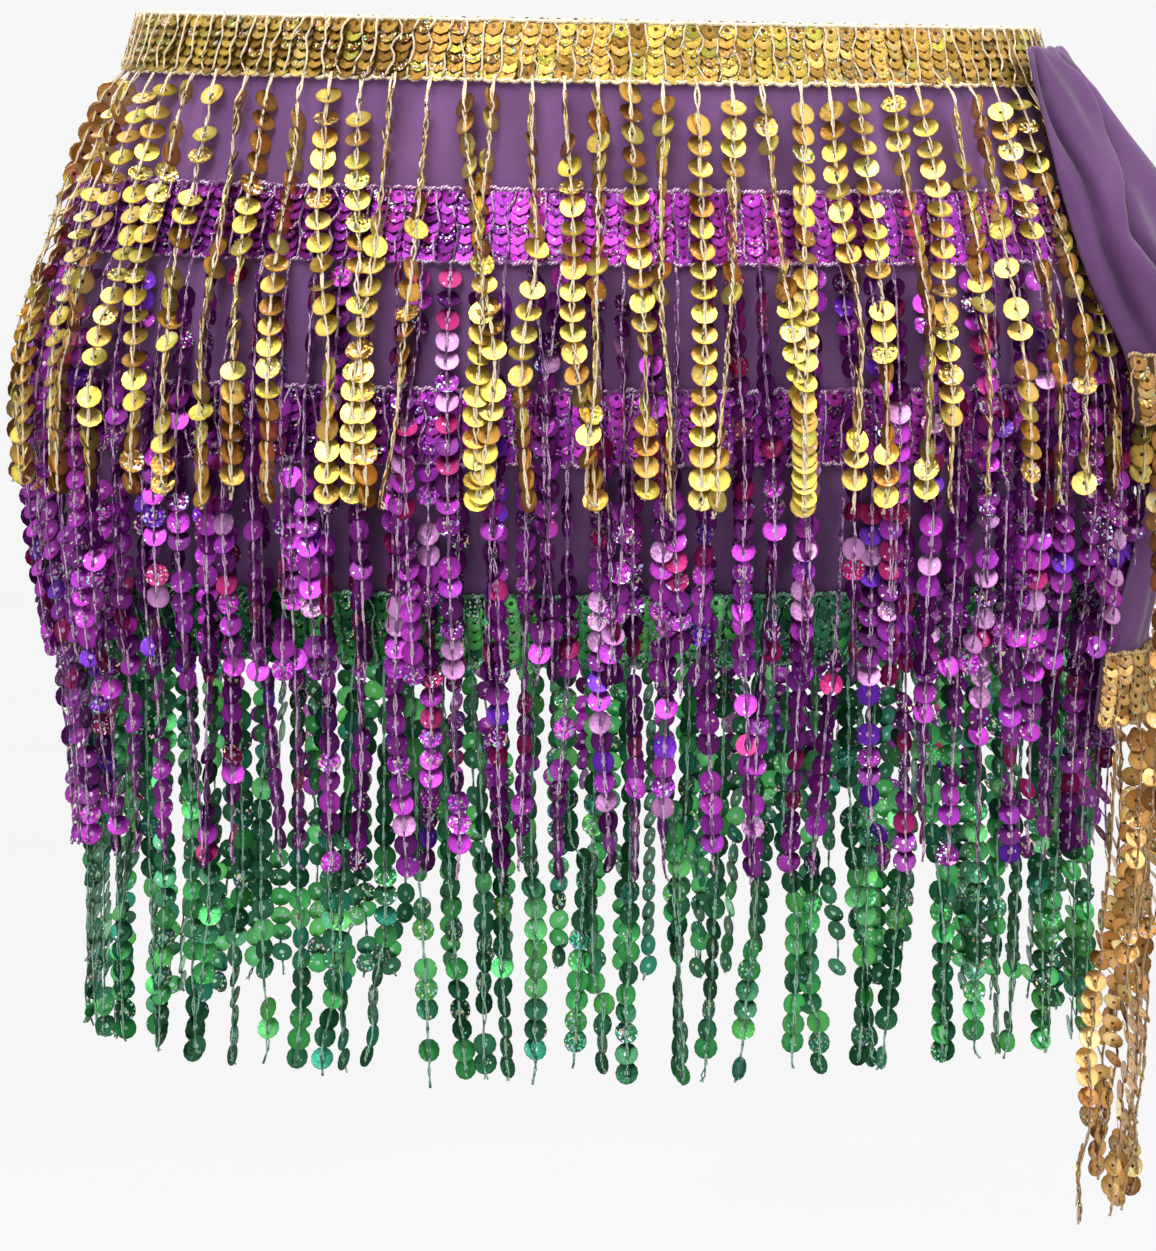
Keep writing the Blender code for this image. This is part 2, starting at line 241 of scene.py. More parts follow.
# Sequin colours, each after how common it is, in sixteenths. A strand finish's first columns hold the
# bright shades of faces turned to the light, and its darker shades after them are painted shade, given
# mostly to sequins turned aside. The gold trim's brighter shades are painted light where the trim is
# bright.
SEQUIN_COLOURS = {
    "gold": (
        (4, 1.00, 0.76, 0.14), (3, 1.00, 0.68, 0.17), (4, 0.86, 0.53, 0.12), (2, 1.00, 0.83, 0.20),
        (2, 0.68, 0.35, 0.07), (1, 0.42, 0.19, 0.04),
    ),
    "gold trim": (
        (4, 0.52, 0.30, 0.06), (3, 0.66, 0.45, 0.08), (3, 0.38, 0.20, 0.04), (2, 0.50, 0.44, 0.07),
        (2, 0.90, 0.62, 0.17), (2, 0.72, 0.43, 0.10),
    ),
    "purple": (
        (4, 0.44, 0.035, 0.47), (3, 0.30, 0.025, 0.38), (1, 0.74, 0.32, 0.72), (1, 0.15, 0.02, 0.48),
        (3, 0.24, 0.018, 0.27), (3, 0.14, 0.011, 0.165), (1, 0.34, 0.012, 0.12),
    ),
    "green": (
        (4, 0.05, 0.36, 0.09), (2, 0.11, 0.50, 0.15), (1, 0.10, 0.46, 0.10), (4, 0.018, 0.125, 0.05),
        (4, 0.03, 0.19, 0.085), (1, 0.02, 0.21, 0.13),
    ),
    "bronze": (
        (5, 0.86, 0.52, 0.18), (4, 0.96, 0.68, 0.28), (5, 0.62, 0.32, 0.09), (2, 0.40, 0.18, 0.05),
    ),
}
DARK_HOLES = {
    "gold": (0.14, 0.06, 0.015),
    "purple": (0.05, 0.006, 0.06),
    "green": (0.01, 0.06, 0.025),
    "bronze": (0.14, 0.06, 0.02),
}
# A painted glint in the middle of green and purple strand sequins, where the others show a dark hole
PAINTED_MIDDLE_GLINTS = {"purple": (0.66, 0.36, 0.68), "green": (0.36, 0.66, 0.46)}
TRIM_STRENGTH = {"gold": 1.0, "purple": 1.0, "green": 1.2, "bronze": 0.95}
TRIM_GLITTER = {"gold": 0.22, "purple": 0.25, "green": 0.50, "bronze": 0.16}
METALLIC = {"gold": 0.95, "purple": 0.80, "green": 0.80, "bronze": 0.92}
TAPE_COLOURS = {
    "gold": (0.180, 0.100, 0.028),
    "purple": (0.060, 0.010, 0.070),
    "green": (0.010, 0.060, 0.025),
    "bronze": (0.110, 0.055, 0.020),
}
# Woven cloths: the name, the colours of the threads and of the gaps, the weave's pitch in millimetres, how
# much its gaps show, and the roughness. The tapes share a weave.
CLOTHS = {
    "mesh": ("sheer purple mesh", (0.200, 0.085, 0.245), (0.09, 0.04, 0.12), 0.9, 0.6, 0.62),
    "chiffon": ("purple chiffon", (0.112, 0.043, 0.138), (0.070, 0.026, 0.088), 0.5, 0.4, 0.55),
}
TAPE_WEAVE = (0.9, 0.6, 0.7)
WEAVE_DEPTH, YARN_DEPTH = 0.0002, 0.0003
MOTTLE, YARN_DASH = 35.0, 260.0
# A thread's colours: the painted highlight on the crests of its twist and the painted shade in its grooves,
# how much of it is dulled in dashes, and how metallic it is
Yarn = namedtuple("Yarn", "light dark dashes metallic")
YARNS = {
    "cream": Yarn((1.00, 0.91, 0.70), (0.80, 0.60, 0.32), 0.10, 0.0),
    "lilac": Yarn((1.00, 0.72, 0.96), (0.20, 0.05, 0.22), 0.45, 0.1),
    "leaf": Yarn((0.36, 0.70, 0.50), (0.03, 0.15, 0.07), 0.42, 0.1),
    "ochre": Yarn((0.74, 0.50, 0.24), (0.30, 0.16, 0.06), 0.30, 0.2),
}

# A tie tail, row by row from the knot to its end, as its solid has it: where its middle is round the hip,
# its width, how far its long edges and its middle stand out, and how deep its lengthwise folds are.
TailRow = namedtuple("TailRow", "z middle width edge dome fold")
Tail = namedtuple("Tail", "name node fringe lean rows")
TAIL_FOLDS = 2.5
TAIL_STRANDS = 8
TAIL_ROOT_PROUD = 1.6
# How much a tail's strands stray, against a tier's, and how far out of its end they hang
TAIL_STRAY, TAIL_HANG_OUT, TAIL_HANG_SPREAD = 0.7, 1.2, 1.4
# How much longer a tail's trim is than its end is wide, for the folds that it follows
WAVED = 1.08
FRONT_TAIL = Tail("front_tail", "front_tie_tail", 143.0, 0.0, [TailRow(*row) for row in (
    (-20, 15, 20, 7.2, 0.5, 0.3), (-12, 18, 24, 7.6, 1.0, 0.5), (-6.5, 24, 34, 9.5, 1.5, 0.8),
    (-11, 26, 40, 11.5, 2.5, 1.2), (-24, 27.5, 44, 12.5, 5, 2.0), (-40, 26, 57, 12.5, 8, 3.0),
    (-58, 23, 70, 12.5, 13, 3.8), (-84, 19.5, 79, 13, 16, 4.4), (-112, 10.5, 77, 14.5, 15, 3.8),
    (-134.5, 7, 78, 15.5, 15, 3.4),
)])
BACK_TAIL = Tail("back_tail", "back_tie_tail", 177.0, 10.0, [TailRow(*row) for row in (
    (-25, -7.5, 11, 9.0, 1, 0.3), (-33.6, -8, 14, 9.2, 1, 0.4), (-50, -9, 14, 7.2, 1.5, 0.8),
    (-66, -6, 18, 7.6, 2, 1.2), (-100, -5, 28, 10.6, 3, 1.8), (-134, -3, 36, 12.6, 3.5, 2.2),
    (-172, 2, 50, 14.5, 4, 2.6), (-206, 4, 64, 18.2, 4, 3.0), (-217.5, 5, 72, 19.2, 4, 2.8),
    (-240, 6, 80, 19.6, 4, 2.6),
)])

# The folds of the tie tails: how far each stands out (or in, if negative) and how wide it is, and its
# course, as percentages down the tail and across it from its back edge
TAIL_CREASES = {
    "front_tail": (
        (2.8, 4.6, ((30, 59), (38, 48), (48, 51), (58, 64), (67, 82), (72, 88), (77, 82), (86, 72),
                   (100, 66))),
        (-4.6, 2.9, ((30, 52), (38, 41), (48, 45), (58, 58), (67, 76), (72, 82), (77, 76), (86, 66),
                    (100, 60))),
        (2.8, 8.0, ((34, 26), (45, 32), (56, 35), (66, 42), (80, 36), (100, 34))),
        (-3.6, 1.7, ((26, 92), (44, 93), (53, 91.5), (61, 91), (72, 90.5), (78, 89), (88, 91.5),
                    (100, 91))),
        (0.9, 1.6, ((26, 97), (60, 96.5), (100, 96))),
        (1.2, 3.0, ((55, 86), (64, 87), (76, 85), (85, 87), (100, 84))),
        (-1.5, 3.0, ((40, 14), (60, 20), (80, 16), (100, 20))),
        (1.4, 4.0, ((48, 8), (70, 10), (100, 9))),
        (-1.1, 2.2, ((4, 60), (16, 68), (30, 78), (44, 76))),
        (-1.0, 2.0, ((6, 35), (20, 40), (34, 46))),
    ),
    "back_tail": (
        (1.8, 4.0, ((10, 40), (30, 55), (50, 62), (70, 55), (100, 60))),
        (-2.0, 2.6, ((12, 55), (32, 70), (52, 76), (72, 68), (100, 74))),
        (-1.8, 2.6, ((8, 28), (28, 30), (55, 36), (80, 30), (100, 36))),
        (1.4, 3.2, ((25, 12), (50, 16), (75, 12), (100, 18))),
        (1.4, 3.2, ((45, 88), (70, 86), (100, 90))),
    ),
}
FOLD_FADE = 9.0

# How much the cloth's relief gives it painted highlight on its ridges and painted shade in its creases, and
# how much painted shadow darkens the wrap further below its top, where more fringes hang over it
PAINTED_RELIEF_SHADE = 0.36
PAINTED_FRINGE_SHADOW = ((0, 60, 95, 125, 155, 213), (0, 0.05, 0.40, 0.55, 1.00, 1.15))
WRAP_CLOTH, TAIL_CLOTH = 0.6, 0.8
# How far out of their forms the cloths lie, the columns and rows of their meshes, where the wrap is bare
# between its trims, and how far down in percent the tails' creases end before the trim
WRAP_OUT, LOOSE, TAIL_OUT = 0.25, 0.3, 0.4
WRAP_GRID, TAIL_GRID = (261, 54), (91, 81)
BARE_CLOTH = ((-20.5, -55.5), (-80, -121), (-145.5, -189))
TRIM_START, TRIM_FADE = 91, 10
# The depths of the wrap's drape and of its creases at the knot, and how far round these reach. The depth of
# the tails' fine creases, and how far down in percent these reach.
DRAPE, DRAWN, NEAR_KNOT = 0.42, 0.5, 0.05
GATHERED, GATHERED_DOWN = 0.5, 55

# The knot: where its middle is round the hip, up and outwards, and half its size outwards, round and up.
# Its creases and its band's folds are in shares of that size, and its map is in millimetres. The creases
# and folds also carry painted shade in their hollows and painted highlight on their ridges.
KNOT_MIDDLE = (-7.0, -20.0)
KNOT_OUT = 9.0
KNOT_SIZE = (5.6, 11.0, 11.5)
KNOT_TILT = math.radians(-24)
KNOT_GRID, KNOT_MAP = (72, 44), 12
KNOT_FOLDS, KNOT_CREASE, KNOT_PAINTED_SHADING = 9, 0.065, 0.8
BAND_SIZE, BAND_FOLDS, BAND_CREASE = (0.50, 0.26), 7, 0.10
BAND_OUT, BAND_GRID = 0.95, (40, 56)


def unit(ways):
    """Directions at a length of 1."""
    return ways / np.linalg.norm(ways, axis=-1, keepdims=True)


def alike(*values):
    """Numbers and arrays as float arrays of one shape."""
    return np.broadcast_arrays(*(np.asarray(value, float) for value in values))


def rowed(first, rest):
    """Rows that each start with a value of their own."""
    return np.concatenate((first, rest), axis=1)


def run_lengths(paths):
    """How far along each path each of its points is."""
    steps = np.linalg.norm(np.diff(paths, axis=-2), axis=-1)
    return np.concatenate((np.zeros((*steps.shape[:-1], 1)), np.cumsum(steps, axis=-1)), axis=-1)


def curved(share, low, high, slope_low, slope_high):
    """Values at a share of the way from low to high, on a smooth curve with these slopes at its ends."""
    square, cube = share**2, share**3
    return (
        (2 * cube - 3 * square + 1) * low + (cube - 2 * square + share) * slope_low
        + (3 * square - 2 * cube) * high + (cube - square) * slope_high
    )


def smooth_row(rows, place):
    """The values of a table between its rows, on a smooth curve through them. Column 0 rises."""
    places = [row[0] for row in rows]
    place = min(max(place, places[0]), places[-1])
    after = min(int(np.searchsorted(places, place, side="right")), len(rows) - 1)
    near = (after - 2, after - 1, after, after + 1)
    before, low, high, beyond = (np.array(rows[min(max(row, 0), len(rows) - 1)], float) for row in near)
    span = high[0] - low[0]
    slope_low = (high - before) / (high[0] - before[0]) * span
    slope_high = (beyond - low) / (beyond[0] - low[0]) * span
    return curved((place - low[0]) / span, low, high, slope_low, slope_high)


def straight_row(rows, place):
    """A table's values at places between its rows, in straight steps, and where they are read."""
    place = np.clip(place, 0, len(rows) - 1.001)
    low = place.astype(int)
    part = (place - low)[..., None]
    return rows[low] * (1 - part) + rows[low + 1] * part, low, part[..., 0]


def hip_tables():
    """The hip form, a row for each millimetre of height: half width, front, back, the distance round it,
    and the angle at even distances round."""
    form = np.array([smooth_row(SECTIONS, z)[1:] for z in np.arange(HEM_Z, 1)])
    turn = np.linspace(0, 2 * math.pi, 721)
    depth = np.where(np.sin(turn) > 0, form[:, 1:2], form[:, 2:3])
    lengths = run_lengths(np.stack((form[:, :1] * np.cos(turn), depth * np.sin(turn)), -1))
    even = np.linspace(0, 1, 1201)
    angles = np.array([np.interp(even * row[-1], row, turn) for row in lengths])
    return np.column_stack((form, lengths[:, -1])), angles


HIP_FORM, HIP_ANGLES = hip_tables()


def hip_row(z):
    """The hip form's half width, front, back and distance round at heights, and where they are read."""
    return straight_row(HIP_FORM, np.asarray(z, float) - HEM_Z)


def round_hip(z):
    """The distance round the hip form at one height."""
    return float(hip_row(z)[0][3])


def hip_size(angle, z):
    """The hip form's half width, and its depth on an angle's side."""
    half_width, front, back, _ = np.moveaxis(hip_row(z)[0], -1, 0)
    return half_width, np.where(np.sin(angle) > 0, front, back)


def hip_angle(distance, z):
    """The angle on the hip form at a distance round from the slit, at a height."""
    distance, z = alike(distance, z)
    row, low, part = hip_row(z)
    column = distance / row[..., 3] % 1 * (HIP_ANGLES.shape[1] - 1)
    left = np.minimum(column.astype(int), HIP_ANGLES.shape[1] - 2)
    over = column - left
    lower = HIP_ANGLES[low, left] * (1 - over) + HIP_ANGLES[low, left + 1] * over
    upper = HIP_ANGLES[low + 1, left] * (1 - over) + HIP_ANGLES[low + 1, left + 1] * over
    return lower * (1 - part) + upper * part


def hip_point(distance, z, out):
    """Points off the hip form, and the way straight out of it: the distance round from the slit, the
    height, and how far each stands out."""
    distance, z, out = alike(distance, z, out)
    return hip_at(hip_angle(distance, z), z, out)


def hip_at(angle, z, out):
    """The same from an angle on the hip form."""
    half_width, depth = hip_size(angle, z)
    x, y = half_width * np.cos(angle), -depth * np.sin(angle)
    way = unit(np.stack((x / half_width**2, y / depth**2, np.zeros_like(x)), -1))
    x, y = x + out * way[..., 0], y + out * way[..., 1]
    fade = 1 - np.minimum(-z / -HEM_Z, 1)
    return np.stack((x, y, z - WAIST_DIP * fade * x / half_width), -1), way


def hem_wave(share, z):
    """How far the loose cloth under the hips stands out at a share of the way round."""
    ramp = np.clip((HIP_Z - z) / (HIP_Z - HEM_Z), 0, 1)
    return HEM_WAVE * ramp * np.sin(2 * math.pi * HEM_WAVES * np.asarray(share))


def fallen_angle(angle, z, next_z):
    """The angle where a strand lies one step further down: pushed straight out of the form, or let in."""
    here = hip_at(angle, z, 0)[0]
    half_width, depth = hip_size(angle, next_z)
    x, y = here[..., 0], -here[..., 1]
    slope_x, slope_y = x / half_width**2, y / depth**2
    over = 1 - (x * slope_x + y * slope_y)
    push = over / (2 * (slope_x**2 + slope_y**2))
    return np.arctan2((y + slope_y * push) / depth, (x + slope_x * push) / half_width) % (2 * math.pi)


def wrap_point(share, z, out):
    """Points off the wrap's inner face, at a share of the way round from its front edge to its back."""
    share, z = np.asarray(share, float), np.asarray(z, float)
    round_it = hip_row(z)[0][..., 3]
    slit = SLIT_AT_WAIST + (SLIT_AT_HEM - SLIT_AT_WAIST) * np.minimum(z / HEM_Z, 1)
    distance = slit / 2 + share * (round_it - slit)
    return hip_point(distance, z, out + hem_wave(share, z))


# Meshes


def link(obj):
    bpy.context.scene.collection.objects.link(obj)
    return obj


def finished(name, bm, material):
    """An object from a bmesh."""
    mesh = bpy.data.meshes.new(name)
    bm.to_mesh(mesh)
    bm.free()
    mesh.materials.append(material)
    return link(bpy.data.objects.new(name, mesh))


def copies(name, placed, corners, sizes, material, map_name, spots):
    """Copies of one form as one mesh, from each copy's points in millimetres, the corners and sizes of the
    form's faces, and a spot of the map for every corner."""
    count, size = placed.shape[:2]
    mesh = bpy.data.meshes.new(name)
    mesh.vertices.add(count * size)
    mesh.vertices.foreach_set("co", (placed * MM).ravel())
    moved = (corners[None] + size * np.arange(count)[:, None]).ravel()
    mesh.loops.add(len(moved))
    mesh.loops.foreach_set("vertex_index", moved.astype(np.int32))
    sizes = np.tile(sizes, count)
    mesh.polygons.add(len(sizes))
    starts = np.concatenate(([0], np.cumsum(sizes)[:-1]))
    mesh.polygons.foreach_set("loop_start", starts.astype(np.int32))
    mesh.polygons.foreach_set("use_smooth", np.full(len(sizes), True))
    mesh.update(calc_edges=True)
    mesh.validate()
    mesh.materials.append(material)
    layer = mesh.uv_layers.new(name=map_name)
    layer.data.foreach_set("uv", spots.astype(np.float32).ravel())
    return link(bpy.data.objects.new(name, mesh))


def read_bmesh(bm):
    """A bmesh's points, corners and face sizes."""
    bm.verts.index_update()
    points = np.array([vert.co for vert in bm.verts])
    corners = np.array([vert.index for face in bm.faces for vert in face.verts])
    sizes = np.array([len(face.verts) for face in bm.faces])
    bm.free()
    return points, corners, sizes


def sequin_template(radius, sides, cup=0.0):
    """One sequin in millimetres, its face towards +Z: a thin disc, its face drawn in at the middle."""
    bm = bmesh.new()
    bmesh.ops.create_cone(
        bm, cap_ends=True, segments=sides, radius1=radius, radius2=radius, depth=SEQUIN_THICK
    )
    if cup:
        front = max(bm.faces, key=lambda face: face.calc_center_median().z)
        bmesh.ops.poke(bm, faces=[front], offset=-cup)
    return read_bmesh(bm)


def many_sequins(name, template, places, frames, looks, material):
    """Sequins as one mesh: where each is, its three axes, and its look, as a column and a row of the
    map's cells. The map lays each sequin flat in the cell of its look."""
    points, corners, sizes = template
    placed = places[:, None] + np.einsum("vk,nkj->nvj", points, frames)
    flat = points[corners, :2] / np.abs(points[:, :2]).max() * CELL_FILL
    spots = (looks[:, None] + (flat[None] + 1) / 2) / (LOOK_COLUMNS, LOOK_ROWS)
    obj = copies(name, placed, corners, sizes, material, "sequin", spots)
    obj.data.set_sharp_from_angle(angle=SHARP)
    return obj


def thread_template(rings, sides):
    """A straight thread, 1 long and 1 in radius, with rings along it. Its map runs round and along it."""
    bm = bmesh.new()
    bmesh.ops.create_cone(bm, cap_ends=True, segments=sides, radius1=1, radius2=1, depth=1)
    bmesh.ops.translate(bm, verts=bm.verts, vec=(0, 0, 0.5))
    long_edges = [e for e in bm.edges if abs(e.verts[0].co.z - e.verts[1].co.z) > 0.5]
    bmesh.ops.subdivide_edges(bm, edges=long_edges, cuts=rings - 2, use_grid_fill=True)
    turns = []
    for face in bm.faces:
        own = [math.atan2(vert.co.y, vert.co.x) / (2 * math.pi) % 1 for vert in face.verts]
        wraps = max(own) - min(own) > 0.5
        turns.extend(turn + 1 if wraps and turn < 0.5 else turn for turn in own)
    return *read_bmesh(bm), np.array(turns)


def many_threads(name, paths, radius, sides, material):
    """Threads along paths of the same number of points, as one mesh."""
    count, steps = paths.shape[:2]
    points, corners, sizes, turns = thread_template(steps, sides)
    along = unit(np.gradient(paths, axis=1))
    guide = np.cross(along, (0.0, 0.0, 1.0))
    upright = np.linalg.norm(guide, axis=-1, keepdims=True) < NEARLY_UPRIGHT
    guide = unit(np.where(upright, np.cross(along, (0.0, 1.0, 0.0)), guide))
    other = np.cross(along, guide)
    ring = np.rint(points[:, 2] * (steps - 1)).astype(int)
    placed = (
        paths[:, ring] + radius * points[:, 0][:, None] * guide[:, ring]
        + radius * points[:, 1][:, None] * other[:, ring]
    )
    up = run_lengths(paths)
    spots = np.stack((np.broadcast_to(turns, (count, len(turns))), up[:, ring[corners]]), -1)
    return copies(name, placed, corners, sizes, material, "thread", spots)


def cloth_sheet(name, points, material, thickness, painted_relief_shading=0.0):
    """A cloth shell on rows of points, with a map in millimetres along its rows and columns, and its
    painted shading as an attribute: 1 for painted highlight on a full ridge, -1 for painted shade in a deep
    trough, and lower where painted shadow falls under the wrap's fringes."""
    grid = np.asarray(points, float)
    rows, columns = grid.shape[0] - 1, grid.shape[1] - 1
    bm = bmesh.new()
    bmesh.ops.create_grid(bm, x_segments=columns, y_segments=rows, size=1)
    across, down = run_lengths(grid[rows // 2]), run_lengths(grid[:, columns // 2])
    layer = bm.loops.layers.uv.new("cloth")
    painted_shading = bm.verts.layers.float.new("painted_relief_shading")
    painted_relief_shading = np.broadcast_to(painted_relief_shading, grid.shape[:2])
    cells = {}
    for vert in bm.verts:
        column = round((vert.co.x + 1) / 2 * columns)
        row = round((1 - vert.co.y) / 2 * rows)
        cells[vert] = (across[column], down[row])
        vert[painted_shading] = float(painted_relief_shading[row, column])
        vert.co = Vector(grid[row, column]) * MM
    for face in bm.faces:
        for loop in face.loops:
            loop[layer].uv = cells[loop.vert]
    bmesh.ops.reverse_faces(bm, faces=bm.faces)
    obj = finished(name, bm, material)
    obj.data.shade_smooth()
    wall = obj.modifiers.new("Wall", "SOLIDIFY")
    wall.thickness = thickness * MM
    wall.offset = 1
    return obj


# Materials


class Tree:
    """A node tree, filled node by node. Each input takes a value or the output of another node."""

    def __init__(self, tree):
        self.nodes, self.links = tree.nodes, tree.links

    def fill(self, node, inputs):
        """Sets or joins a node's inputs, by name or by number."""
        for key, value in inputs.items():
            socket = node.inputs[key]
            if isinstance(value, bpy.types.NodeSocket):
                self.links.new(value, socket)
            else:
                socket.default_value = (*value, 1) if socket.type == "RGBA" else value

    def add(self, kind, inputs=None, **settings):
        """A node with its settings and its inputs."""
        node = self.nodes.new("ShaderNode" + kind)
        for key, value in settings.items():
            setattr(node, key, value)
        self.fill(node, inputs or {})
        return node

    def maths(self, operation, *values):
        return self.add("Math", dict(enumerate(values)), operation=operation).outputs[0]

    def vector(self, operation, *values):
        node = self.add("VectorMath", dict(enumerate(values)), operation=operation)
        return node.outputs["Value" if operation in ("LENGTH", "DOT_PRODUCT") else "Vector"]

    def mix(self, factor, first, second, blend="MIX"):
        """Two colours mixed. A Mix node's colours are its inputs 6 and 7, and its output 2."""
        inputs = {0: factor, 6: first, 7: second}
        return self.add("Mix", inputs, data_type="RGBA", blend_type=blend).outputs[2]

    def ramp(self, factor, stops, interpolation="LINEAR"):
        """A colour ramp, from pairs of a place and a colour."""
        node = self.add("ValToRGB", {"Fac": factor})
        node.color_ramp.interpolation = interpolation
        elements = node.color_ramp.elements
        for index, (place, colour) in enumerate(stops):
            stop = elements[index] if index < 2 else elements.new(place)
            stop.position = place
            stop.color = (*colour, 1)
        return node.outputs["Color"]

    def map_parts(self, name):
        """The two coordinates of a map."""
        spot = self.add("UVMap", uv_map=name).outputs["UV"]
        return self.add("SeparateXYZ", {"Vector": spot}).outputs

    def noise(self, scale, detail):
        """Noise on the object's own coordinates, in metres."""
        place = self.add("TexCoord").outputs["Object"]
        return self.add("TexNoise", {"Vector": place, "Scale": scale, "Detail": detail}).outputs["Fac"]

    def bump(self, height, strength, distance):
        inputs = {"Height": height, "Strength": strength, "Distance": distance}
        return self.add("Bump", inputs).outputs["Normal"]


def new_material(name):
    """A material, its tree and its surface node."""
    material = bpy.data.materials.new(name)
    material.use_nodes = True
    tree = Tree(material.node_tree)
    return material, tree, tree.nodes["Principled BSDF"]


def new_group(name, colours, numbers):
    """A node group that takes colours and numbers, and gives a colour and a height: the group, its tree,
    what it is given, and the node for its results."""
    group = bpy.data.node_groups.new(name, "ShaderNodeTree")
    for names, kind in ((colours, "Color"), (numbers, "Float")):
        for given in names:
            group.interface.new_socket(given, in_out="INPUT", socket_type="NodeSocket" + kind)
    for result, kind in (("Color", "Color"), ("Height", "Float")):
        group.interface.new_socket(result, in_out="OUTPUT", socket_type="NodeSocket" + kind)
    tree = Tree(group)
    return group, tree, tree.nodes.new("NodeGroupInput").outputs, tree.nodes.new("NodeGroupOutput")


def film_group():
    """Hologram film on the sequin map. Each cell has its own strength, painted highlight towards its middle
    and painted shade at its rim, a middle spot that is a dark hole and on green and purple strands a
    painted glint, and tiny facets that each tilt a little, some of which are painted bright in a colour of
    their own as painted glints."""
    numbers = ("Hole and Painted Glint Size", "Facet", "Tilt", "Glitter")
    group, tree, given, result = new_group("hologram film", ("Film", "Hole and Painted Glint Colour"), numbers)
    spot = tree.add("UVMap", uv_map="sequin").outputs["UV"]
    scaled = tree.vector("MULTIPLY", spot, (LOOK_COLUMNS, LOOK_ROWS, 0))
    cell = tree.vector("FLOOR", scaled)
    centred = tree.vector("SUBTRACT", tree.vector("FRACTION", scaled), (0.5, 0.5, 0))
    radius = tree.maths("DIVIDE", tree.vector("LENGTH", centred), 0.5 * CELL_FILL)
    chance = tree.add("TexWhiteNoise", {"Vector": cell}, noise_dimensions="2D").outputs["Value"]
    strength = tree.maths("MULTIPLY_ADD", chance, CELL_SPREAD, CELL_DARKEST)
    film = tree.mix(1.0, given["Film"], strength, "MULTIPLY")

    scale = tree.maths("DIVIDE", 1.0, given["Facet"])
    facets = tree.add("TexVoronoi", {"Vector": scaled, "Scale": scale, "Randomness": 1.0}).outputs["Color"]
    parts = tree.add("SeparateColor", {"Color": facets}).outputs
    row = tree.add("SeparateXYZ", {"Vector": cell}).outputs["Y"]
    shiny = tree.maths("GREATER_THAN", row, LOOK_ROWS - SHINY_ROWS - 0.5)
    # Painted glints: some facets, more of them in the shiny rows, are painted bright in a hue of their own
    often = tree.maths("MULTIPLY_ADD", shiny, SHINY_PAINTED_GLINTS - PLAIN_PAINTED_GLINTS, PLAIN_PAINTED_GLINTS)
    lit = tree.maths("MULTIPLY", tree.maths("LESS_THAN", parts["Red"], often), given["Glitter"])
    hue = {"Red": parts["Green"], "Green": PAINTED_GLINT_SATURATION, "Blue": 1.0}
    film = tree.mix(lit, film, tree.add("CombineColor", hue, mode="HSV").outputs["Color"])

    # Painted highlight towards each sequin's middle, and painted shade at its rim
    painted_dish_highlight = tree.maths("MULTIPLY_ADD", tree.maths("MULTIPLY", radius, radius), -DISH_PAINTED_SHADE, DISH_PAINTED_HIGHLIGHT)
    painted_rim_shade = tree.maths("MULTIPLY_ADD", tree.maths("GREATER_THAN", radius, RIM_START), -RIM_PAINTED_SHADE, 1.0)
    film = tree.mix(1.0, film, tree.maths("MULTIPLY", painted_dish_highlight, painted_rim_shade), "MULTIPLY")
    # The middle spot: a dark hole, and on green and purple strands a painted glint
    hole_and_glint = tree.maths("LESS_THAN", radius, given["Hole and Painted Glint Size"])
    film = tree.mix(hole_and_glint, film, given["Hole and Painted Glint Colour"])

    lean = tree.vector("SUBTRACT", facets, (0.5, 0.5, 0.5))
    calm = tree.maths("MULTIPLY_ADD", shiny, 1 - PLAIN_TILT, PLAIN_TILT)
    height = tree.maths("MULTIPLY", tree.vector("DOT_PRODUCT", lean, centred), calm)
    tree.fill(result, {"Color": film, "Height": tree.maths("MULTIPLY", height, given["Tilt"])})
    return group


def sequin_material(finish, use, group, hole_and_glint, hole_and_glint_size, roughness, strength=1.0):
    """Metallised film: each sequin in one of its finish's shades, with hologram glitter from tilted facets
    and painted glints.
    """
    material, tree, surface = new_material(finish + " " + use + " sequin film")
    stops, done = [], 0
    for sixteenths, *colour in SEQUIN_COLOURS.get(finish + " " + use, SEQUIN_COLOURS[finish]):
        stops.append((done / 16, [strength * part for part in colour]))
        done += sixteenths
    film = tree.add("Group", {
        "Film": tree.ramp(tree.map_parts("sequin")["X"], stops, "CONSTANT"), "Hole and Painted Glint Colour": hole_and_glint,
        "Hole and Painted Glint Size": hole_and_glint_size, "Facet": FACET, "Tilt": FACET_TILT * 2 * STRAND_SEQUIN[finish] * MM,
        "Glitter": PAINTED_GLINTS,
    }, node_tree=group).outputs
    tree.fill(surface, {
        "Base Color": film["Color"], "Metallic": METALLIC[finish], "Roughness": roughness,
        "Coat Weight": 0.10, "Coat Roughness": 0.12, "Normal": tree.bump(film["Height"], 1.0, 1.0),
    })
    return material


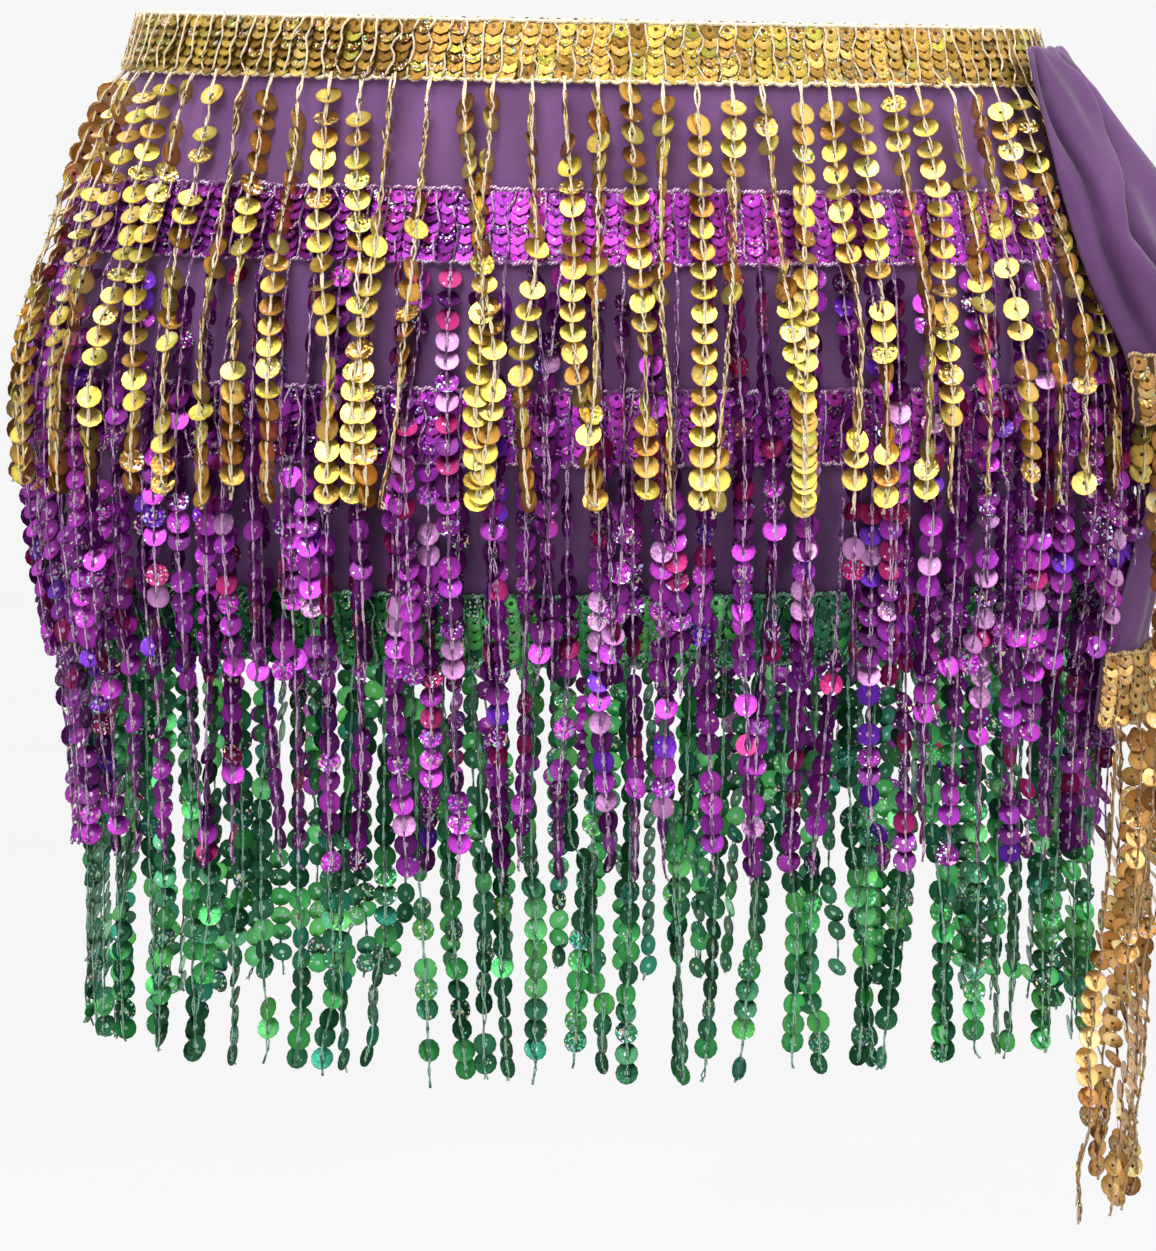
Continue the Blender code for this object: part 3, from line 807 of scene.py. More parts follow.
def yarn_material(name, yarn):
    """Two plies of thread twisted together, with a metallic glint, painted highlight on the crests of the
    twist and painted shade in its grooves.
    """
    material, tree, surface = new_material(name)
    parts = tree.map_parts("thread")
    phase = tree.maths("ADD", parts["X"], tree.maths("DIVIDE", parts["Y"], YARN_TURN))
    wave = tree.maths("SINE", tree.maths("MULTIPLY", phase, 4 * math.pi))
    height = tree.maths("MULTIPLY_ADD", wave, 0.5, 0.5)
    # Painted highlight on the crests of the twist, and painted shade in its grooves
    colour = tree.ramp(height, ((0.12, yarn.dark), (0.6, yarn.light)))
    dull = tree.maths("LESS_THAN", tree.noise(YARN_DASH, 1.0), 0.34 + 0.32 * yarn.dashes)
    tree.fill(surface, {
        "Base Color": tree.mix(dull, colour, yarn.dark), "Metallic": yarn.metallic, "Roughness": 0.45,
        "Sheen Weight": 0.3, "Normal": tree.bump(height, 0.5, YARN_DEPTH),
    })
    return material


def weave_group():
    """A fine woven mesh on a map in millimetres: threads both ways with tiny gaps between them."""
    group, tree, given, result = new_group("fine weave", ("Cloth", "Gap"), ("Pitch", "Depth"))
    parts = tree.map_parts("cloth")
    waves = []
    for axis in ("X", "Y"):
        turns = tree.maths("DIVIDE", parts[axis], given["Pitch"])
        wave = tree.maths("SINE", tree.maths("MULTIPLY", turns, 2 * math.pi))
        waves.append(tree.maths("ABSOLUTE", wave))
    height = tree.maths("MAXIMUM", *waves)
    shade = tree.maths("MULTIPLY_ADD", tree.noise(MOTTLE, 4.0), 0.5, 0.75)
    cloth = tree.mix(1.0, given["Cloth"], shade, "MULTIPLY")
    gaps = tree.maths("MULTIPLY", tree.maths("SUBTRACT", 1.0, height), given["Depth"])
    tree.fill(result, {"Color": tree.mix(gaps, cloth, given["Gap"]), "Height": height})
    return group


def cloth_material(name, group, cloth, gap, pitch, depth, roughness):
    """Thin cloth with a fine weave and a soft sheen, lighter with painted highlight on its ridges, darker
    with painted shade in its creases, and on the wrap darker with painted shadow under its fringes.
    """
    material, tree, surface = new_material(name)
    given = {"Cloth": cloth, "Gap": gap, "Pitch": pitch, "Depth": depth}
    weave = tree.add("Group", given, node_tree=group).outputs
    # Painted highlight on the cloth's ridges and painted shade in its creases, from its painted shading
    # attribute
    painted_shading = tree.add("Attribute", attribute_name="painted_relief_shading").outputs["Fac"]
    shade = tree.maths("MULTIPLY_ADD", painted_shading, PAINTED_RELIEF_SHADE, 1.0)
    tree.fill(surface, {
        "Base Color": tree.mix(1.0, weave["Color"], shade, "MULTIPLY"), "Roughness": roughness,
        "Sheen Weight": 0.22, "Sheen Roughness": 0.4, "Specular IOR Level": 0.25,
        "Normal": tree.bump(weave["Height"], 0.25, WEAVE_DEPTH),
    })
    return material


def make_materials():
    film, weave = film_group(), weave_group()
    made = {key: cloth_material(name, weave, *look) for key, (name, *look) in CLOTHS.items()}
    for finish, dark in DARK_HOLES.items():
        # Green and purple strand sequins get a painted glint in their middle in place of a dark hole
        spot = PAINTED_MIDDLE_GLINTS.get(finish, dark)
        size = PAINTED_GLINT_SIZE if finish in PAINTED_MIDDLE_GLINTS else STRAND_HOLE
        made[finish] = sequin_material(finish, "strand", film, spot, size, STRAND_ROUGHNESS)
        made[finish + " trim"] = sequin_material(
            finish, "trim", film, dark, TRIM_HOLE, TRIM_ROUGHNESS, TRIM_STRENGTH[finish]
        )
    for finish, colour in TAPE_COLOURS.items():
        gap = [0.5 * part for part in colour]
        made[finish + " tape"] = cloth_material(finish + " tape", weave, colour, gap, *TAPE_WEAVE)
    for name, yarn in YARNS.items():
        made[name] = yarn_material(name + " thread", yarn)
    return made


# Strands


def soft_mix(before, here, after):
    return 0.25 * before + 0.5 * here + 0.25 * after


def eased(values, times):
    """Rows of values, each mixed with its neighbours along the row a few times."""
    for _ in range(times):
        padded = np.pad(values, ((0, 0), (1, 1)), mode="edge")
        values = soft_mix(padded[:, :-2], padded[:, 1:-1], padded[:, 2:])
    return values


def wander(rng, strands, beads, spacing):
    """How far each sequin of each strand has drifted sideways from its root, in millimetres. Some
    neighbours swing together somewhere on their way down."""
    down = np.linspace(0, 1, beads)
    reach = STRAND_WANDER * spacing
    ends = np.clip(rng.normal(0, reach, (strands, 1)), -2 * reach, 2 * reach)
    bend = rng.uniform(-1, 1, (strands, 1)) * BEND * reach
    phase = rng.uniform(0, 2 * math.pi, (strands, 1))
    kinks = eased(np.cumsum(rng.normal(0, KINK, (strands, beads)), axis=1), 2)
    kinks -= kinks[:, :1]
    bend = bend * np.sin(BEND_WAVES * math.pi * down + phase)
    drift = ends * down**1.3 + bend * down**0.6 + kinks * down
    for strand in range(strands - 1):
        if rng.random() < SWING_TOGETHER:
            off = (down - rng.uniform(*MEETING_PLACE)) / rng.uniform(*MEETING_REACH)
            meeting = np.exp(-(off**2))
            pull = rng.uniform(*SWING) * spacing * meeting
            drift[strand] += pull
            drift[strand + 1] -= pull
    return drift


def twists(rng, strands, beads, hang):
    """How far each sequin is turned round its thread: runs that face out, and runs that turn aside."""
    angles = np.zeros((strands, beads))
    for strand in range(strands):
        start = 0
        while start < beads:
            run = int(rng.integers(*RUN_LENGTHS))
            if rng.random() > hang.turned:
                angle = rng.normal(0, FACING_SPREAD)
            else:
                angle = rng.choice((-1, 1)) * rng.uniform(hang.least, hang.most)
            angles[strand, start:start + run] = angle
            start += run
    return np.radians(eased(angles + rng.normal(0, RUN_SPREAD, angles.shape), 1))


def pick_looks(rng, turn, hang):
    """A look for each sequin: the brighter shades mostly on those that face out, and the darker shades,
    painted shade, mostly on those turned aside. Some glitter.
    """
    size = turn.shape
    light = rng.integers(0, hang.bright, size)
    of_strand = rng.integers(0, hang.bright, (size[0], 1))
    light = np.where(rng.random(size) < OF_ITS_STRAND, of_strand, light)
    # Darker columns, painted shade, go mostly to sequins turned aside and to a share of those that face out
    dark = rng.integers(hang.bright, LOOK_COLUMNS, size)
    aside = np.abs(turn) > TURNED_ASIDE
    columns = np.where(rng.random(size) < np.where(aside, PAINTED_SHADE_ASIDE, hang.shaded), dark, light)
    plain = rng.integers(0, LOOK_ROWS - SHINY_ROWS, size)
    shiny = rng.integers(LOOK_ROWS - SHINY_ROWS, LOOK_ROWS, size)
    rows = np.where(rng.random(size) < hang.glitter, shiny, plain)
    return np.stack((columns, rows), -1).reshape(-1, 2)


def tilted(turn, tip, side, up, out):
    """Three axes for each sequin, from its own ways along, up and out: turned aside, then tipped up."""
    faced = out * np.cos(turn)[..., None] + side * np.sin(turn)[..., None]
    face = faced * np.cos(tip)[..., None] + up * np.sin(tip)[..., None]
    across = unit(np.cross(face, up))
    return np.stack((across, np.cross(face, across), face), -2)


def strand_frames(rng, along, out, turn, lean):
    """Each sequin's axes on its strand: sideways, up its face, and the way it faces. Sequins face more to
    the front or back than the form does, and tip up further round the sides. lean tips every face up."""
    sideways = 1 - np.abs(out[..., 1]) / np.linalg.norm(out[..., :2], axis=-1)
    side = unit(np.cross(along, out * (1, FACED_FRONT, 1)))
    out = np.cross(side, along)
    lean = lean + SIDE_TIP * np.clip(sideways * SIDE_SOON, 0, 1)
    tip = lean * (EDGE_ON_TIP + (1 - EDGE_ON_TIP) * np.cos(turn) ** 2)
    tip = tip + rng.normal(0, math.radians(TIP_SPREAD), turn.shape)
    return tilted(turn, tip, side, -along, out), out


def leaned(points):
    """Strand points, leaning in only partly where the form under them curves in."""
    keep = 1 - STRAND_LEAN ** (STRAND_PITCH / LEAN_STEP)
    for index in range(1, points.shape[1]):
        last, now = points[:, index - 1, :2], points[:, index, :2]
        inside = np.linalg.norm(now, axis=-1) < np.linalg.norm(last, axis=-1)
        mixed = keep * now + (1 - keep) * last
        points[:, index, :2] = np.where(inside[:, None], mixed, now)
    return points


def drops_of(rng, strands, beads):
    """How far below the trim each strand's root and sequins lie."""
    down = FIRST_SEQUIN + STRAND_PITCH * np.arange(beads)
    down = down[None] + rng.normal(0, ROOT_DROP, (strands, 1))
    down = down + rng.uniform(-BEAD_SPREAD, BEAD_SPREAD, (strands, beads))
    return rowed(np.full((strands, 1), -ROOT_DEPTH), down)


def root_places(rng, tier, round_it):
    """How far round from the slit each of a tier's strands is rooted, and the strand in front of each
    back one. Back strands are a little further apart, so that they hang behind the front ones."""
    ways, places = [], []
    spacing = round_it / tier.strands
    for middle, pitch in ((0.25, spacing * FRONT_PITCH), (0.75, spacing * BACK_PITCH)):
        half = round_it / 4 - pitch * 0.5 - tier.end_margin * 0.5
        count = int(half / pitch)
        steps = np.arange(-count, count + 1) + 0.5 * (middle < 0.5)
        places.append(round_it * middle + steps * pitch)
        ways.append(np.full(len(steps), 1.0 if middle < 0.5 else -1.0))
    front, back = len(places[0]), len(places[1])
    centred = np.arange(back) - back // 2
    partners = np.clip(front // 2 - centred, 0, front - 1)
    strays = rng.uniform(-ROOT_SPREAD, ROOT_SPREAD, front + back)
    places = np.concatenate(places) + strays * spacing
    return places, np.concatenate(ways), np.concatenate((np.arange(front), partners))


def hang_tier(rng, tier):
    """The middles of a tier's sequins, with each strand's root first, the way out at each, and how far
    each stands off the form."""
    bottom = tier.top - tier.height
    beads = int((STRAND_LENGTH - STRAND_END) / STRAND_PITCH)
    round_it = round_hip(bottom)
    places, ways, partners = root_places(rng, tier, round_it)
    strands = len(places)
    drift = wander(rng, strands, beads, round_it / tier.strands)[partners] * ways[:, None]
    drift = rowed(np.zeros((strands, 1)), drift)
    z = bottom - drops_of(rng, strands, beads)
    on_form = np.maximum(z, HEM_Z)
    angles = [hip_angle(places, on_form[:, 0])]
    for bead in range(1, beads + 1):
        angles.append(fallen_angle(angles[-1], on_form[:, bead - 1], on_form[:, bead]))
    angles = np.stack(angles, 1)
    angles += drift / round_it * 2 * math.pi
    lift = np.interp(z, *np.transpose(tier.lifts)) + eased(rng.normal(0, LIFT_SPREAD, z.shape), 1)
    lift += hem_wave(places[:, None] / round_it, on_form)
    points, out = hip_at(angles, on_form, lift)
    points[..., 2] += np.minimum(z - HEM_Z, 0)
    room = np.where(z < HEM_Z - 4, FREE_ROOM, lift)
    return leaned(points), out, room


def hang_tail(rng, tail):
    """The same for the strands of a tie tail's end."""
    beads = int((tail.fringe - STRAND_END) / STRAND_PITCH)
    across = (np.arange(TAIL_STRANDS) + 0.5) / TAIL_STRANDS
    bottom = np.full(TAIL_STRANDS, 100.0)
    roots, side, out = surface_frame(tail_end(tail), across * 100, bottom, ON_CLOTH + TAIL_ROOT_PROUD)
    outward = unit(out * (1, 1, 0))
    spacing = tail.rows[-1].width / TAIL_STRANDS
    drift = rowed(np.zeros((TAIL_STRANDS, 1)), wander(rng, TAIL_STRANDS, beads, spacing))
    down = drops_of(rng, TAIL_STRANDS, beads)
    inward = -roots * (1, 1, 0) / np.linalg.norm(roots[:, :2], axis=-1, keepdims=True)
    share = np.clip(down / tail.fringe, 0, 1)
    hung_out = TAIL_HANG_OUT + eased(rng.normal(0, TAIL_HANG_SPREAD, down.shape), 1)
    points = (
        roots[:, None] + side[:, None] * drift[..., None] * TAIL_STRAY
        + inward[:, None] * (tail.lean * share**1.5)[..., None]
        + outward[:, None] * hung_out[..., None]
        + np.array((0, 0, -1.0)) * down[..., None]
    )
    return points, np.broadcast_to(outward[:, None], points.shape), np.full(down.shape, FREE_ROOM)


def fringe(rng, name, hung, finish, thread, made):
    """A fringe as two pieces, its sequins and its threads."""
    points, out, room = hung
    strands, beads = points.shape[0], points.shape[1] - 1
    hang = HANGS[finish]
    turn = twists(rng, strands, beads, hang)
    inward = STRAND_SEQUIN[finish] * np.maximum(np.abs(np.sin(turn)), 0.5)
    pushed = eased(np.clip(inward + NEAREST - room[:, 1:], 0, None), 1)
    points = rowed(points[:, :1], points[:, 1:] + out[:, 1:] * pushed[..., None])
    along = unit(np.gradient(points, axis=1))
    frames, straight = strand_frames(rng, along[:, 1:], out[:, 1:], turn, math.radians(hang.tip))
    kept = rng.random((strands, beads)) > hang.missing
    kept[:, -1] = rng.random(strands) > BARE_ENDS
    kept[:, 0] = rng.random(strands) > BARE_ENDS
    picked = kept.ravel()
    sequins = many_sequins(
        name + "_sequins",
        sequin_template(STRAND_SEQUIN[finish], STRAND_SEQUIN_SIDES, cup=CUPPED),
        points[:, 1:].reshape(-1, 3)[picked],
        frames.reshape(-1, 3, 3)[picked],
        pick_looks(rng, turn, hang)[picked],
        made[finish],
    )
    front = rowed(points[:, :1], points[:, 1:] + straight * THREAD_PROUD)
    tips = front[:, -1:] + along[:, -1:] * rng.uniform(*THREAD_TIP, (strands, 1, 1))
    tips[..., :2] += rng.normal(0, TIP_STRAY, (strands, 1, 2))
    path = resampled(rowed(front, tips), PLY_STEPS)
    path = path + eased_path(rng.normal(0, THREAD_STRAY, path.shape))
    threads = many_threads(
        name + "_threads", twisted(rng, path, THREAD[thread]), THREAD[thread], 3, made[thread]
    )
    return [sequins, threads]


def twisted(rng, path, radius):
    """Two plies wound round each path, that part and close again on the way down."""
    along = unit(np.gradient(path, axis=1))
    side = unit(np.cross(along, path * (1, 1, 0)))
    front = np.cross(side, along)
    strands, steps = path.shape[:2]
    speed = rng.uniform(*PLY_SPEED, (strands, 1)) * 2 * math.pi * STRAND_PITCH / PLY_STEPS / PLY_TURN
    turn = np.arange(steps) * speed + rng.uniform(0, 2 * math.pi, (strands, 1))
    parting = np.clip(eased(rng.normal(0, 1, (strands, steps)), 3) * PARTED_OFTEN, 0, PARTED_MOST)
    apart = radius * (PLY_CLOSED + PLY_PARTED * parting)
    swing = side * (apart * np.cos(turn))[..., None]
    swing = swing + front * (apart * PLY_FLAT * np.sin(turn))[..., None]
    return np.concatenate((path + swing, path - swing))


def eased_path(noise):
    """Random steps along paths, mixed with their neighbours, and none at the roots."""
    soft = soft_mix(np.roll(noise, 1, axis=1), noise, np.roll(noise, -1, axis=1))
    soft[:, :2] = 0
    return soft


def resampled(paths, between):
    """Paths with more points on smooth curves between their own."""
    count, steps = paths.shape[:2]
    before = rowed(2 * paths[:, :1] - paths[:, 1:2], paths[:, :-1])
    after = rowed(paths[:, 1:], 2 * paths[:, -1:] - paths[:, -2:-1])
    slope = (after - before) / 2
    low, high = paths[:, :-1], paths[:, 1:]
    parts = [curved(part / between, low, high, slope[:, :-1], slope[:, 1:]) for part in range(between)]
    joined = np.stack(parts, 2).reshape(count, (steps - 1) * between, 3)
    return rowed(joined, paths[:, -1:])


# Trims


def tier_surface(tier):
    """A tier's trim as a surface: points at a percentage along it and down it, and how far out."""
    end_share = tier.end_margin / round_hip(tier.top - tier.height)

    def point(along, down, out):
        share = end_share + along / 100 * (1 - 2 * end_share)
        return wrap_point(share, tier.top - down / 100 * tier.height, out)[0]

    return point


def tail_surface(tail, first_row, rows):
    """A tie tail, or some of its rows, as a surface in the same way."""
    table = [(index, *row) for index, row in enumerate(tail.rows)]
    steps = 24
    places = first_row + rows * np.arange(-2, steps + 3) / steps
    known = np.array([smooth_row(table, place)[1:] for place in places])
    # It runs straight on past its end, where the table has no more rows
    known[-2:] = known[-3] + (known[-3] - known[-4]) * np.array([[1.0], [2.0]])

    def point(along, down, out):
        along, down, out = alike(along, down, out)
        row = straight_row(known, down / 100 * steps + 2)[0]
        z, middle, width, edge, dome, fold = np.moveaxis(row, -1, 0)
        side = along / 50 - 1
        wave = fold / 2 * np.cos(2 * math.pi * TAIL_FOLDS * along / 100)
        return hip_point(middle + width / 2 * side, z, edge + dome * (1 - side**2) + wave + out)[0]

    return point


def tail_end(tail):
    """The last row of a tie tail, which carries its trim, as a surface in the same way."""
    return tail_surface(tail, len(tail.rows) - 2, 1)


def surface_frame(surface, along, down, out):
    """Points off a surface, and the ways along it and straight out of it."""
    step = 0.4
    side = surface(along + step, down, 0) - surface(along - step, down, 0)
    low = surface(along, down + step, 0) - surface(along, down - step, 0)
    normal = unit(np.cross(side, low))
    return surface(along, down, 0) + normal * np.asarray(out)[..., None], unit(side), normal


def trim(rng, name, surface, length, height, finish, thread, made, lies):
    """A sequin trim as its tape, its sequins in close columns, its stitching and its looped edges."""
    columns, rows = round(length / TRIM_PITCH), round(height / TRIM_ROW)
    wide, high = np.meshgrid(np.linspace(0, 100, columns * 2 + 1), np.linspace(0, 100, 5))
    tape_points = surface_frame(surface, wide, high, ON_CLOTH + 0.1)[0]
    tape = cloth_sheet(name + "_tape", tape_points, made[finish + " tape"], TAPE)

    shares, turns, tips, brights = np.array(lies, float).T
    column, row = np.meshgrid(np.arange(columns), np.arange(rows))
    column, row = column.ravel(), row.ravel()
    along = (column + 0.5) / columns * 100 + rng.normal(0, COLUMN_STRAY, column.size) / length * 100
    down = (row + 0.5) / rows * 100
    places, side, normal = surface_frame(surface, along, down, 0)
    aside = np.interp(np.arange(columns) / columns, shares, turns) + rng.normal(0, COLUMN_TURN, columns)
    turn = np.radians(aside[column] + rng.normal(0, OWN_TURN, column.size))
    tip = np.radians(np.interp(column / columns, shares, tips) + rng.normal(0, OWN_TIP, column.size))
    frames = tilted(turn, tip, side, np.cross(side, normal), normal)
    frames[:, :2] *= -1
    sunk = TRIM_SEQUIN * np.sqrt(1 - np.clip(np.sum(frames[:, 2] * normal, axis=-1), 0, 1) ** 2)
    places = places + normal * (ON_CLOTH + np.maximum(TAPE + TRIM_SEQUIN_HEIGHT, sunk))[:, None]
    across_columns = (np.arange(columns) + 0.5) / columns
    roped = np.interp(across_columns, shares, tips)
    roped = np.clip((roped - FLAT_TIP) / (ROPE_TIP - FLAT_TIP), 0, 1)
    # Bright stretches of a trim take the bright looks, with their painted light and painted shade
    bright = np.interp(across_columns, shares, brights)
    plain_looks, bright_looks = (np.array(looks) for looks in TRIM_LOOKS[finish])

    def picked(share):
        size = len(share)
        return np.where(rng.random(size) < share, rng.choice(bright_looks, size),
                        rng.choice(plain_looks, size))

    column_look = picked(bright)
    for index in range(1, columns):
        if rng.random() < LIKE_THE_LAST_COLUMN:
            column_look[index] = column_look[index - 1]
    own = picked(bright[column])
    shade = np.where(rng.random(column.size) < LIKE_ITS_COLUMN, column_look[column], own)
    glossy = rng.random(column.size) < TRIM_GLITTER[finish]
    shine = np.where(glossy, rng.integers(LOOK_ROWS - SHINY_ROWS, LOOK_ROWS, column.size),
                     rng.integers(0, LOOK_ROWS - SHINY_ROWS, column.size))
    sequins = many_sequins(
        name + "_sequins", sequin_template(TRIM_SEQUIN, TRIM_SEQUIN_SIDES), places, frames,
        np.stack((shade, shine), -1), made[finish + " trim"],
    )

    lines = np.linspace(0, 100, columns + 1)[:, None]
    wobble = eased(rng.normal(0, STITCH_STRAY, (columns + 1, STITCH_STEPS)), 1) / length * 100
    heights = np.linspace(0, 100, STITCH_STEPS)[None]
    rise = np.concatenate((roped, roped[-1:]))[:, None]
    proud = STITCH_PROUD + (ROPE_STITCH_PROUD - STITCH_PROUD) * rise
    path = surface_frame(surface, lines + wobble, heights, ON_CLOTH + TAPE + proud)[0]
    stitching = many_threads(name + "_stitching", path, STITCH, 4, made[thread])

    loops = round(length / LOOP_PITCH)
    turn = np.linspace(0, 1, LOOP_STEPS)[None]
    start = np.arange(loops)[:, None]
    paths = []
    for edge, way in ((-1.0, -1), (101.0, 1)):
        lift = rng.uniform(*LOOP_RISE, (loops, 1)) * np.sin(math.pi * turn)
        along = (start + LOOP_LONG * turn - LOOP_BACK) / loops * 100
        down = edge + way * (lift - LOOP_SUNK) / height * 100
        arch = LOOP_ARCH * np.sin(math.pi * turn) * rng.uniform(*ARCH_SPREAD, (loops, 1))
        proud = ON_CLOTH + TAPE + LOOP_PROUD + arch
        paths.append(surface_frame(surface, np.clip(along, 0, 100), down, proud)[0])
    edging = many_threads(name + "_edging", np.concatenate(paths), EDGING, 4, made[thread])
    return [tape, sequins, stitching, edging]


# Cloth


def window(z, top, bottom):
    """1 between two heights, easing to 0 towards each."""
    rise = np.clip((top - z) / FOLD_FADE, 0, 1)
    fall = np.clip((z - bottom) / FOLD_FADE, 0, 1)
    return (rise * rise * (3 - 2 * rise)) * (fall * fall * (3 - 2 * fall))


def wrap_creases(share, z):
    """Soft folds of the wrap between its trims, deeper towards the knot, where the cloth is drawn up."""
    near_knot = np.exp(-share / NEAR_KNOT) + np.exp(-(1 - share) / NEAR_KNOT)
    around = 2 * math.pi * share
    drape = np.sin(23 * around + 0.045 * z) * np.sin(5 * around + 1.3)
    drape += 0.6 * np.sin(41 * around - 0.06 * z + 2)
    drawn = np.sin(0.55 * z + 60 * near_knot)
    bare = sum(window(z, top, bottom) for top, bottom in BARE_CLOTH)
    return bare * (DRAPE * drape + DRAWN * np.clip(near_knot, 0, 1) * drawn)


def wrap_cloth(made):
    shares, heights = np.meshgrid(np.linspace(0, 1, WRAP_GRID[0]), np.linspace(0, HEM_Z, WRAP_GRID[1]))
    creases = wrap_creases(shares, heights)
    points = wrap_point(shares, heights, WRAP_OUT + np.maximum(LOOSE + creases, 0))[0]
    # Painted shadow of the fringes, deeper further down the wrap, taken off the painted shade and highlight
    # of its creases
    shaded = np.interp(-heights, *PAINTED_FRINGE_SHADOW)
    return cloth_sheet("wrap", points, made["mesh"], WRAP_CLOTH, np.clip(creases, -1, 1) - shaded)


def fold_heights(folds, along, down, width):
    """How far a tail's folds lift its cloth, each fading in and out at the ends of its course."""
    total = np.zeros_like(down)
    for height, wide, course in folds:
        downs, acrosses = np.array(course, float).T
        course = np.interp(down, downs, acrosses)
        course = course + 1.5 * np.sin(down * 0.21 + acrosses[0])
        off = (along - course) * width / 100 / wide
        fade = np.clip((down - downs[0]) / FOLD_FADE, 0, 1)
        if downs[-1] < 100:
            fade = fade * np.clip((downs[-1] - down) / FOLD_FADE, 0, 1)
        total += height * fade * np.exp(-off * off)
    return total


def tail_cloth(tail, made):
    """A tie tail in its lengthwise folds, with finer creases that run in towards the knot."""
    surface = tail_surface(tail, 0, len(tail.rows) - 1)
    along, down = np.meshgrid(*(np.linspace(0, 100, steps) for steps in TAIL_GRID))
    rows = np.array([row.width for row in tail.rows], float)
    width = np.interp(down, np.linspace(0, 100, len(rows)), rows)
    gathered = np.clip(1 - down / GATHERED_DOWN, 0, 1)
    crease = GATHERED * gathered * np.sin(along * 0.42 + 1.2 * np.sin(down * 0.06))
    crease += fold_heights(TAIL_CREASES[tail.name], along, down, width)
    crease *= np.clip((TRIM_START - down) / TRIM_FADE, 0, 1)
    points = surface_frame(surface, along, down, TAIL_OUT + crease)[0]
    # The creases also paint the cloth: painted shade in their troughs, and a weaker painted highlight on
    # their ridges
    return cloth_sheet(tail.name, points, made["chiffon"], TAIL_CLOTH, np.clip(crease / 3.0, -1, 0.45))


def knot(made):
    """The tied knot: a plump core with creases drawn across it, and the end that is wrapped over it."""
    bm = bmesh.new()
    painted_shading = bm.verts.layers.float.new("painted_relief_shading")
    bmesh.ops.create_uvsphere(bm, u_segments=KNOT_GRID[0], v_segments=KNOT_GRID[1], radius=1)
    for vert in bm.verts:
        round_it, up, out = vert.co
        crease = math.cos(KNOT_FOLDS * (up + 0.55 * round_it) + 2.2 * math.sin(2 * round_it))
        # Painted shade in each crease's hollow and painted highlight on its ridge
        vert[painted_shading] = crease * KNOT_PAINTED_SHADING
        vert.co *= 1 + KNOT_CREASE * crease * (1 - 0.5 * abs(up))
    band = bmesh.ops.create_circle(bm, segments=BAND_GRID[0], radius=1)["verts"]
    for vert in band:
        turn = math.atan2(vert.co.y, vert.co.x)
        ridge = 1 + BAND_CREASE * math.cos(BAND_FOLDS * turn)
        # The band's folds get the same painted shade and painted highlight
        vert[painted_shading] = math.cos(BAND_FOLDS * turn) * KNOT_PAINTED_SHADING
        wide, thick = BAND_SIZE
        out = BAND_OUT + thick * math.sin(turn) * ridge
        vert.co = Vector((wide * math.cos(turn) * ridge, 0, out))
    edges = [edge for edge in bm.edges if edge.verts[0] in band]
    bmesh.ops.spin(
        bm, geom=edges, cent=(0, 0, 0), axis=(1, 0, 0), angle=2 * math.pi, steps=BAND_GRID[1],
        use_merge=True,
    )
    bmesh.ops.remove_doubles(bm, verts=bm.verts, dist=1e-5)
    bmesh.ops.recalc_face_normals(bm, faces=bm.faces)
    layer = bm.loops.layers.uv.new("cloth")
    places = np.array([vert.co for vert in bm.verts])
    for face in bm.faces:
        for loop in face.loops:
            loop[layer].uv = loop.vert.co.xy * KNOT_MAP
    round_it = places[:, 0] * math.cos(KNOT_TILT) - places[:, 1] * math.sin(KNOT_TILT)
    up = places[:, 0] * math.sin(KNOT_TILT) + places[:, 1] * math.cos(KNOT_TILT)
    placed = hip_point(
        KNOT_MIDDLE[0] + KNOT_SIZE[1] * round_it, KNOT_MIDDLE[1] + KNOT_SIZE[2] * up,
        KNOT_OUT + KNOT_SIZE[0] * places[:, 2],
    )[0]
    for vert, point in zip(bm.verts, placed):
        vert.co = Vector(point) * MM
    bmesh.ops.recalc_face_normals(bm, faces=bm.faces)
    obj = finished("knot", bm, made["chiffon"])
    obj.data.shade_smooth()
    return obj


# Stage, light and camera


def make_floor():
    bm = bmesh.new()
    bmesh.ops.create_grid(bm, x_segments=1, y_segments=1, size=FLOOR_REACH)
    bmesh.ops.translate(bm, verts=bm.verts, vec=(0, 0, FLOOR_Z))
    material, tree, surface = new_material("pale floor")
    tree.fill(surface, {
        "Base Color": tree.mix(tree.noise(3.0, 2.0), *FLOOR_COLOURS), "Roughness": 0.9,
        "Specular IOR Level": 0.1, "Emission Color": (1, 1, 1), "Emission Strength": FLOOR_GLOW,
    })
    finished("floor", bm, material)


def make_world():
    """A bright studio: plain pale to the camera, brighter above and dimmer at the sides to the sequins."""
    world = bpy.data.worlds.new("studio")
    bpy.context.scene.world = world
    world.use_nodes = True
    tree = Tree(world.node_tree)
    tree.nodes.clear()
    way = tree.add("TexCoord").outputs["Generated"]
    up = tree.add("SeparateXYZ", {"Vector": way}).outputs["Z"]
    stops = [(place, (light, light, light)) for place, light in STUDIO]
    light = tree.ramp(tree.maths("MULTIPLY_ADD", up, 0.5, 0.5), stops)
    seen, lit = (tree.add("Background", {"Color": colour}).outputs[0] for colour in (BACKDROP, light))
    rays = tree.add("LightPath").outputs["Is Camera Ray"]
    mix = tree.add("MixShader", {0: rays, 1: lit, 2: seen}).outputs[0]
    tree.add("OutputWorld", {"Surface": mix})


def soft_light(name, place, aim, size, power):
    light = bpy.data.lights.new(name, "AREA")
    light.shape = "DISK"
    light.size = size
    light.energy = power
    lamp = link(bpy.data.objects.new(name, light))
    way = Vector(aim) - Vector(place)
    lamp.matrix_world = Matrix.Translation(place) @ way.to_track_quat("-Z", "Y").to_matrix().to_4x4()


